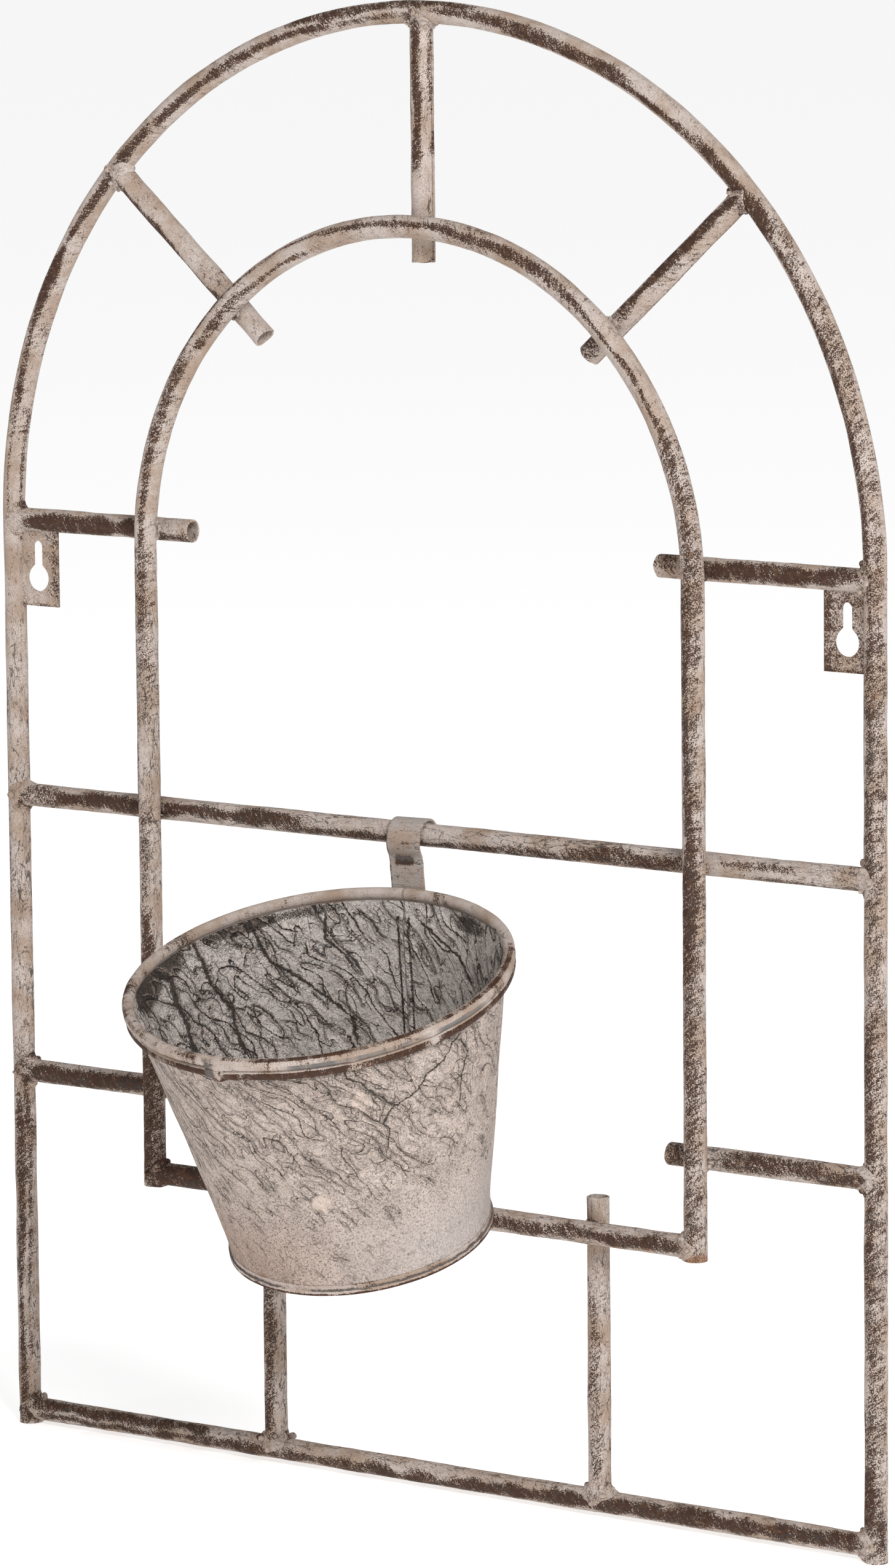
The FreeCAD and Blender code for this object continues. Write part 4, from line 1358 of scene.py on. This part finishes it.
def material_of(name):
    """A material with an empty tree but for its shader and output, and short calls for its nodes."""
    made = bpy.data.materials.new(name)
    made.use_nodes = True
    made.node_tree.nodes.clear()
    nodes = Graph(made.node_tree)
    shader = nodes.add("ShaderNodeBsdfPrincipled")
    nodes.feed(nodes.add("ShaderNodeOutputMaterial").inputs["Surface"], shader.outputs["BSDF"])
    shader.inputs["Specular IOR Level"].default_value = SHEEN
    return made, nodes, shader


def surface(nodes, shader, color, rough, height, depth):
    """Gives a material its colour, roughness and relief."""
    relief = nodes.node("ShaderNodeBump", {"Distance": depth, "Height": height})
    nodes.fill(shader, {"Base Color": color, "Roughness": rough, "Normal": relief.outputs["Normal"]})


def wash_in(nodes, looks, place, wear, brush, specks, pale=None, even=False, under=None):
    """Places the worn wash in a material with that material's own values."""
    colours = looks["colours"]
    thin = tuple(0.82 * part for part in pale) if even else tuple(colours.thin_wash)
    return nodes.group(looks["wash"], {
        "Coordinates": place, "Wear": wear, "Brush": brush, "Specks": specks,
        "Wash": tuple(pale or colours.wash), "Thin wash": thin,
        "Under coat": tuple(under or colours.under_coat), "Rust": tuple(colours.rust)})


def cracks_in(nodes, looks, place, density, amount, width):
    """Places the crackle in a material with that material's own values."""
    return nodes.group(
        looks["crackle"], {"Coordinates": place, "Density": density, "Amount": amount, "Width": width})


def veins_in(nodes, looks, place, distance, amount, width, wander):
    """Places cracks along one net of lines in a material."""
    values = {"Coordinates": place, "Distance": distance, "Amount": amount, "Width": width, "Wander": wander}
    return nodes.group(looks["vein"], values)


ALONG_STRETCH = 3.2


def washed(name, looks, brush, specks, depth, cracked, pale=None):
    """Worn wash on a piece's own coordinates and wear, with cracks that run along it."""
    made, nodes, shader = material_of(name)
    colours = looks["colours"]
    place = nodes.attribute("run", "Vector")
    group = wash_in(nodes, looks, place, nodes.attribute("wear", "Fac"), brush, specks, pale)
    along = nodes.drawn_out(place, (0.0, 0.0, 0.0), (ALONG_STRETCH, 1.0, 1.0))
    level = nodes.parts(nodes.own_place())["Z"]
    amount = nodes.ease(level, -0.06, 0.06, cracked, cracked - 0.14)
    cracks = cracks_in(nodes, looks, along, 110.0, amount, 0.013)
    color = nodes.mix(nodes.attribute("rust", "Fac"), group["Color"], tuple(colours.rust))
    # Grey of bare metal, and on the base ring the painted shade in its crease
    color = nodes.mix(nodes.attribute("bare_metal_and_shade", "Fac"), color, tuple(colours.bare_metal_and_shade))
    color = nodes.tint(color, cracks["Lines"], 0.85, colours.crack)
    height = nodes.math("MULTIPLY_ADD", cracks["Height"], 0.5, group["Height"])
    surface(nodes, shader, color, group["Roughness"], height, depth)
    return made


def weld_paint(name, looks):
    """Wash that sits thick and cracked on the lumps of the welds."""
    made, nodes, shader = material_of(name)
    place = nodes.own_place()
    worn = nodes.ease(nodes.noise(place, 60.0, 2.0), 0.38, 0.62, 0.10, 0.78)
    group = wash_in(nodes, looks, place, worn, 0.2, 0.5)
    cracks = cracks_in(nodes, looks, place, 150.0, 0.36, 0.014)
    color = nodes.mix(cracks["Lines"], group["Color"], tuple(looks["colours"].crack))
    height = nodes.math("ADD", group["Height"], cracks["Height"])
    surface(nodes, shader, color, group["Roughness"], height, 0.16 * MM)
    return made


# Cracks on the pot's wall: their part of the veins, how many more there are, how wide and how far they wander
VEIN_LAYERS = (("X", 0.04, 1.0, 2.4), ("Y", -0.01, 0.8, 2.0), ("Z", 0.22, 1.8, 3.2))


def crackled(name, looks, inside):
    """The pot's wash with its cracks, which slant down to the right on the unrolled wall."""
    made, nodes, shader = material_of(name)
    colours = looks["colours"]
    pale, width, shade, slant = colours.pot_wash, 0.31 * MM, 0.24, OUTSIDE_SLANT
    if inside:
        pale, width, shade, slant = colours.inside, 0.54 * MM, 0.34, INSIDE_SLANT
    place = nodes.attribute("run", "Vector")
    # On the outside the wear also holds the painted shadow band under the rim
    worn = nodes.attribute("wear", "Fac")
    amount = nodes.attribute("cracks", "Fac")
    group = wash_in(nodes, looks, place, worn, 0.12, 0.40, pale, True, colours.crack)
    gaps = nodes.parts(nodes.attribute("veins", "Vector"))
    lines, lip_bumps_and_highlights, trough_bumps_and_shades = 0.0, 0.0, 0.0
    for axis, more, wide, wander in VEIN_LAYERS:
        many = nodes.math("ADD", amount, more)
        vein = veins_in(nodes, looks, place, gaps[axis], many, wide * width, wander * MM)
        lines = nodes.math("MAXIMUM", lines, vein["Line"])
        lip_bumps_and_highlights = nodes.math("MULTIPLY_ADD", vein["Lip bump and highlight"], wide, lip_bumps_and_highlights)
        trough_bumps_and_shades = nodes.math("MAXIMUM", trough_bumps_and_shades, vein["Trough bump and shade"])
    slanted = nodes.drawn_out(place, (0.0, 0.0, slant), (1.3, 1.0, 1.0))
    fine = nodes.math("MULTIPLY_ADD", amount, 0.55, 0.18)
    cracks = cracks_in(nodes, looks, slanted, 270.0, fine, 0.014)
    lines = nodes.math("MAXIMUM", lines, nodes.math("MULTIPLY", cracks["Lines"], 0.8))
    # Painted shade in the troughs beside the cracks, in the crack colour
    color = nodes.tint(group["Color"], trough_bumps_and_shades, shade, colours.crack)
    # Painted highlight on the lips beside the cracks, in the pale spot colour
    color = nodes.tint(color, lip_bumps_and_highlights, 0.40, colours.pale_spot_and_highlight)
    pits = nodes.ease(nodes.noise(place, 1050.0, 2.0, 0.7), 0.52, 0.68, 0.0, 0.74)
    pits = nodes.math("MULTIPLY", pits, nodes.ease(amount, 0.26, 0.42, 1.0, 0.34))
    color = nodes.mix(pits, color, tuple(colours.crack))
    if not inside:
        color = nodes.tint(color, nodes.attribute("cool", "Fac"), 0.75, colours.cool_wash)
        color = nodes.mix(nodes.attribute("rust", "Fac"), color, tuple(colours.rust))
        spots = nodes.attribute("pale", "Fac")
        color = nodes.tint(color, spots, 0.85, colours.pale_spot_and_highlight)
        lines = nodes.math("MULTIPLY", lines, nodes.math("SUBTRACT", 1.0, spots))
    color = nodes.tint(color, lines, 0.9, colours.crack)
    height = nodes.math("MULTIPLY_ADD", group["Height"], 0.35, nodes.math("MULTIPLY", cracks["Height"], 0.5))
    height = nodes.math("ADD", height, nodes.math("SUBTRACT", lip_bumps_and_highlights, nodes.math("ADD", lines, trough_bumps_and_shades)))
    height = nodes.math("MULTIPLY_ADD", pits, -0.4, height)
    surface(nodes, shader, color, group["Roughness"], height, 0.80 * MM)
    return made


def plate_paint(name, looks):
    """Worn wash on the plates, rubbed along their free side and foot."""
    made, nodes, shader = material_of(name)
    place = nodes.own_place()
    parts = nodes.parts(place)
    out = nodes.math("ABSOLUTE", parts["X"])
    side = nodes.ease(out, PLATE_SIDE + 0.6 * MM, PLATE_SIDE + 5.5 * MM, 0.40, 0.18)
    foot = nodes.ease(parts["Z"], PLATE_FOOT + 0.4 * MM, PLATE_FOOT + 2.0 * MM, 0.46, 0.18)
    right = nodes.ease(parts["X"], -0.1, 0.1, 0.10, 0.32)
    worn = nodes.math("ADD", nodes.math("MAXIMUM", side, foot), right)
    group = wash_in(nodes, looks, place, worn, 0.24, 0.56)
    cracks = cracks_in(nodes, looks, place, 90.0, 0.34, 0.010)
    color = nodes.tint(group["Color"], cracks["Lines"], 0.8, looks["colours"].crack)
    surface(nodes, shader, color, group["Roughness"], group["Height"], 0.12 * MM)
    return made


STEEL_DARK = (0.42, 0.41, 0.40, 1)
STEEL_LIGHT = (0.58, 0.57, 0.56, 1)


def steel(name):
    """Bare drawn wire with faint streaks."""
    made, nodes, shader = material_of(name)
    streak = nodes.noise(nodes.own_place(), 900.0, 2.0)
    color = nodes.mix(streak, STEEL_DARK, STEEL_LIGHT)
    rough = nodes.math("MULTIPLY_ADD", streak, 0.3, 0.3)
    nodes.fill(shader, {"Metallic": 1.0, "Base Color": color, "Roughness": rough})
    return made


FINISHES = {}


def finishes(context):
    """The materials, made once."""
    if FINISHES:
        return FINISHES
    colours = context.scene.rack_colours
    looks = {
        "colours": colours, "wash": worn_wash_group(), "crackle": crackle_group(), "vein": vein_group()}
    FINISHES["tube"] = washed("tube_wash", looks, brush=0.52, specks=0.78, depth=0.18 * MM, cracked=0.44)
    FINISHES["weld"] = weld_paint("weld_wash", looks)
    FINISHES["plate"] = plate_paint("plate_wash", looks)
    FINISHES["outside"] = crackled("pot_outside_wash", looks, False)
    FINISHES["inside"] = crackled("pot_inside_wash", looks, True)
    FINISHES["rim"] = washed("rim_wash", looks, brush=0.34, specks=0.50, depth=0.16 * MM, cracked=0.30)
    FINISHES["hook"] = washed(
        "hook_wash", looks, brush=0.22, specks=0.30, depth=0.12 * MM, cracked=0.36, pale=colours.hook_wash)
    FINISHES["wire"] = steel("rim_wire_steel")
    return FINISHES


# Operators


class RACK_OT_arches(bpy.types.Operator):
    """Build the outer and inner arch tubes"""

    bl_idname = "rack.arches"
    bl_label = "Arches"

    def execute(self, context):
        sizes = context.scene.rack_tubes
        paint = finishes(context)["tube"]
        outer = arch_run(OUTER_HALF, OUTER_SPRING, OUTER_FOOT, 0.0, sizes.step)
        inner = arch_run(INNER_HALF, INNER_SPRING, INNER_FOOT, INNER_Y, sizes.step)
        make_tube("outer_arch_tube", outer, (False, False), sizes, paint, 1)
        made = make_tube("inner_arch_tube", inner, (False, False), sizes, paint, 2)
        places = np.empty(3 * len(made.data.vertices))
        made.data.vertices.foreach_get("co", places)
        places = places.reshape(-1, 3)
        above_foot = places[:, Z] - INNER_FOOT
        burnt = (places[:, X] > 0) * (1 - smooth(1.5 * MM, 5 * MM, above_foot))
        painted(made.data, "rust", 0.8 * burnt)
        return {"FINISHED"}


class RACK_OT_bars(bpy.types.Operator):
    """Build the bars, posts and spokes"""

    bl_idname = "rack.bars"
    bl_label = "Bars, posts and spokes"

    def execute(self, context):
        sizes = context.scene.rack_tubes
        paint = finishes(context)["tube"]
        for seed, (name, (start, end, coped, seam)) in enumerate(bar_table().items(), 3):
            run = straight_run(start, end, sizes.step)
            make_tube(name, run, coped, sizes, paint, seed, None if seam is None else math.radians(seam))
        return {"FINISHED"}


class RACK_OT_plates(bpy.types.Operator):
    """Build the two keyhole plates"""

    bl_idname = "rack.plates"
    bl_label = "Keyhole plates"

    def execute(self, context):
        paint = finishes(context)["plate"]
        make_plate(-1, "left", paint)
        make_plate(1, "right", paint)
        return {"FINISHED"}


class RACK_OT_welds(bpy.types.Operator):
    """Build the weld collars, their drops and the tack welds"""

    bl_idname = "rack.welds"
    bl_label = "Welds"

    def execute(self, context):
        sizes = context.scene.rack_welds
        paint = finishes(context)["weld"]
        radius = context.scene.rack_tubes.radius
        shell = Shell()
        loops = []
        names = []
        for seed, (node, joint, along, low) in enumerate(weld_joints(), 100):
            rows, faces, crest = collar(joint, along, sizes, radius, seed, low)
            shell.add(rows, rows, np.full(rows.shape[:2], COLLAR_WEAR), faces)
            loops.append(crest)
            names.append(node)
        piece("weld_collars", shell, [paint], "frame", names, WELD_SHARP_EDGE)
        tree = drop_tree()
        drops = drops_on("weld_drops", loops, tree, sizes.spacing, sizes.drop, DROP_STRAY, DROP_SEED, paint)
        placed(drops, "frame", [])
        turn = np.linspace(0, TURN, TACK_SIDES, endpoint=False)
        ring = sizes.tack * np.stack([np.cos(turn), 0 * turn, np.sin(turn)], -1)
        rings = [ring + spot(x, z, INNER_Y / 2) for x, z in tack_places()]
        tacks = drops_on(
            "tack_weld_drops", rings, tree, TACK_SPACING, TACK_DROP, TACK_STRAY, TACK_SEED, paint)
        placed(tacks, "frame", ["frame_tack_welds"])
        return {"FINISHED"}


class RACK_OT_pot(bpy.types.Operator):
    """Build the pot's wall, rim and base"""

    bl_idname = "rack.pot"
    bl_label = "Pot"

    def execute(self, context):
        sizes = context.scene.rack_pot
        looks = finishes(context)
        pot = PotFrame(sizes)
        make_wall(sizes, pot, looks["outside"], looks["inside"])
        make_rim(sizes, pot, looks["rim"])
        make_base(sizes, pot, looks["rim"])
        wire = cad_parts["pot_rim_wire"]
        wire.data.materials.clear()
        wire.data.materials.append(looks["wire"])
        return {"FINISHED"}


class RACK_OT_hook(bpy.types.Operator):
    """Build the strap that hooks the pot over the crossbar"""

    bl_idname = "rack.hook"
    bl_label = "Hook"

    def execute(self, context):
        sizes = context.scene.rack_pot
        make_hook(sizes, PotFrame(sizes), finishes(context)["hook"])
        return {"FINISHED"}


# Camera as it stood for the photograph: turned and raised in radians, metres from the keyholes' middle
CAMERA_YAW = 0.62872
CAMERA_PITCH = 0.147555
CAMERA_ROLL = -0.009579
CAMERA_PLACE = (1.750394, -2.394193, 0.368065)
FOCAL_PIXELS = 11845.72
IMAGE_LONG_SIDE = 2552
SENSOR = 36.0
CLIP_NEAR = 0.05
CLIP_FAR = 300.0
FLOOR_HALF = 60.0
FLOOR_ROUGHNESS = 0.9
FLOOR_GLOW = 0.55
SKY_STRENGTH = 0.40
WHITE = (1.0, 1.0, 1.0, 1.0)


def area_light(name, place, size, power):
    """A square lamp that looks at the middle of the rack."""
    lamp = bpy.data.lights.new(name, "AREA")
    lamp.shape = "SQUARE"
    lamp.size = size
    lamp.energy = power
    holder = bpy.data.objects.new(name, lamp)
    holder.location = place
    holder.rotation_euler = (-Vector(place)).to_track_quat("-Z", "Y").to_euler()
    bpy.context.scene.collection.objects.link(holder)


class RACK_OT_stage(bpy.types.Operator):
    """Set the floor, the soft light and the camera"""

    bl_idname = "rack.stage"
    bl_label = "Stage"

    def execute(self, context):
        scene = context.scene
        scene.view_settings.view_transform = "Standard"
        level = CAD_BOX[0].z
        corners = [(FLOOR_HALF * x, FLOOR_HALF * y, level) for x, y in ((-1, -1), (1, -1), (1, 1), (-1, 1))]
        mesh = bpy.data.meshes.new("floor")
        mesh.from_pydata(corners, [], [(0, 1, 2, 3)])
        made, _, shader = material_of("pale_floor")
        shader.inputs["Base Color"].default_value = scene.rack_colours.floor
        shader.inputs["Roughness"].default_value = FLOOR_ROUGHNESS
        shader.inputs["Emission Color"].default_value = WHITE
        shader.inputs["Emission Strength"].default_value = FLOOR_GLOW
        mesh.materials.append(made)
        floor = bpy.data.objects.new("floor", mesh)
        scene.collection.objects.link(floor)
        world = bpy.data.worlds.new("soft_room")
        world.use_nodes = True
        sky = world.node_tree.nodes["Background"]
        sky.inputs["Color"].default_value = WHITE
        sky.inputs["Strength"].default_value = SKY_STRENGTH
        scene.world = world
        area_light("key_light", place=(2.6, -1.7, 1.8), size=1.3, power=90.0)
        area_light("fill_light", place=(-1.6, -2.6, 1.8), size=1.8, power=12.0)
        lens = bpy.data.cameras.new("camera")
        lens.sensor_width = SENSOR
        lens.lens = FOCAL_PIXELS / IMAGE_LONG_SIDE * SENSOR
        lens.clip_start = CLIP_NEAR
        lens.clip_end = CLIP_FAR
        camera = bpy.data.objects.new("camera", lens)
        scene.collection.objects.link(camera)
        back = np.array([
            math.sin(CAMERA_YAW) * math.cos(CAMERA_PITCH),
            -math.cos(CAMERA_YAW) * math.cos(CAMERA_PITCH),
            math.sin(CAMERA_PITCH)])
        right = np.array([math.cos(CAMERA_YAW), math.sin(CAMERA_YAW), 0.0])
        up = np.cross(back, right)
        lean_cos, lean_sin = math.cos(CAMERA_ROLL), math.sin(CAMERA_ROLL)
        axes = np.stack([lean_cos * right + lean_sin * up, -lean_sin * right + lean_cos * up, back], 1)
        camera.matrix_world = Matrix.Translation(CAMERA_PLACE) @ Matrix(axes.tolist()).to_4x4()
        scene.camera = camera
        return {"FINISHED"}


class RACK_PT_panel(bpy.types.Panel):
    """Lists the steps that build the rack"""

    bl_idname = "RACK_PT_panel"
    bl_label = "Pot rack"
    bl_space_type = "VIEW_3D"
    bl_region_type = "UI"
    bl_category = "Pot rack"

    def draw(self, context):
        for step in STEPS:
            self.layout.operator(step.bl_idname)
        for group in GROUPS:
            values = getattr(context.scene, group)
            for label in values.bl_rna.properties.keys():
                if label not in ("rna_type", "name"):
                    self.layout.prop(values, label)


STEPS = (
    RACK_OT_arches, RACK_OT_bars, RACK_OT_plates, RACK_OT_welds, RACK_OT_pot, RACK_OT_hook, RACK_OT_stage)
GROUPS = {
    "rack_tubes": TubeSizes, "rack_welds": WeldSizes, "rack_pot": PotSizes, "rack_colours": FinishColours}
CLASSES = (*GROUPS.values(), *STEPS, RACK_PT_panel)


def register():
    for item in CLASSES:
        bpy.utils.register_class(item)
    for name, group in GROUPS.items():
        setattr(bpy.types.Scene, name, PointerProperty(type=group))


def unregister():
    for name in GROUPS:
        delattr(bpy.types.Scene, name)
    for item in reversed(CLASSES):
        bpy.utils.unregister_class(item)


def main():
    register()
    for step in STEPS:
        family, name = step.bl_idname.split(".")
        getattr(getattr(bpy.ops, family), name)()


if __name__ == "__main__":
    main()
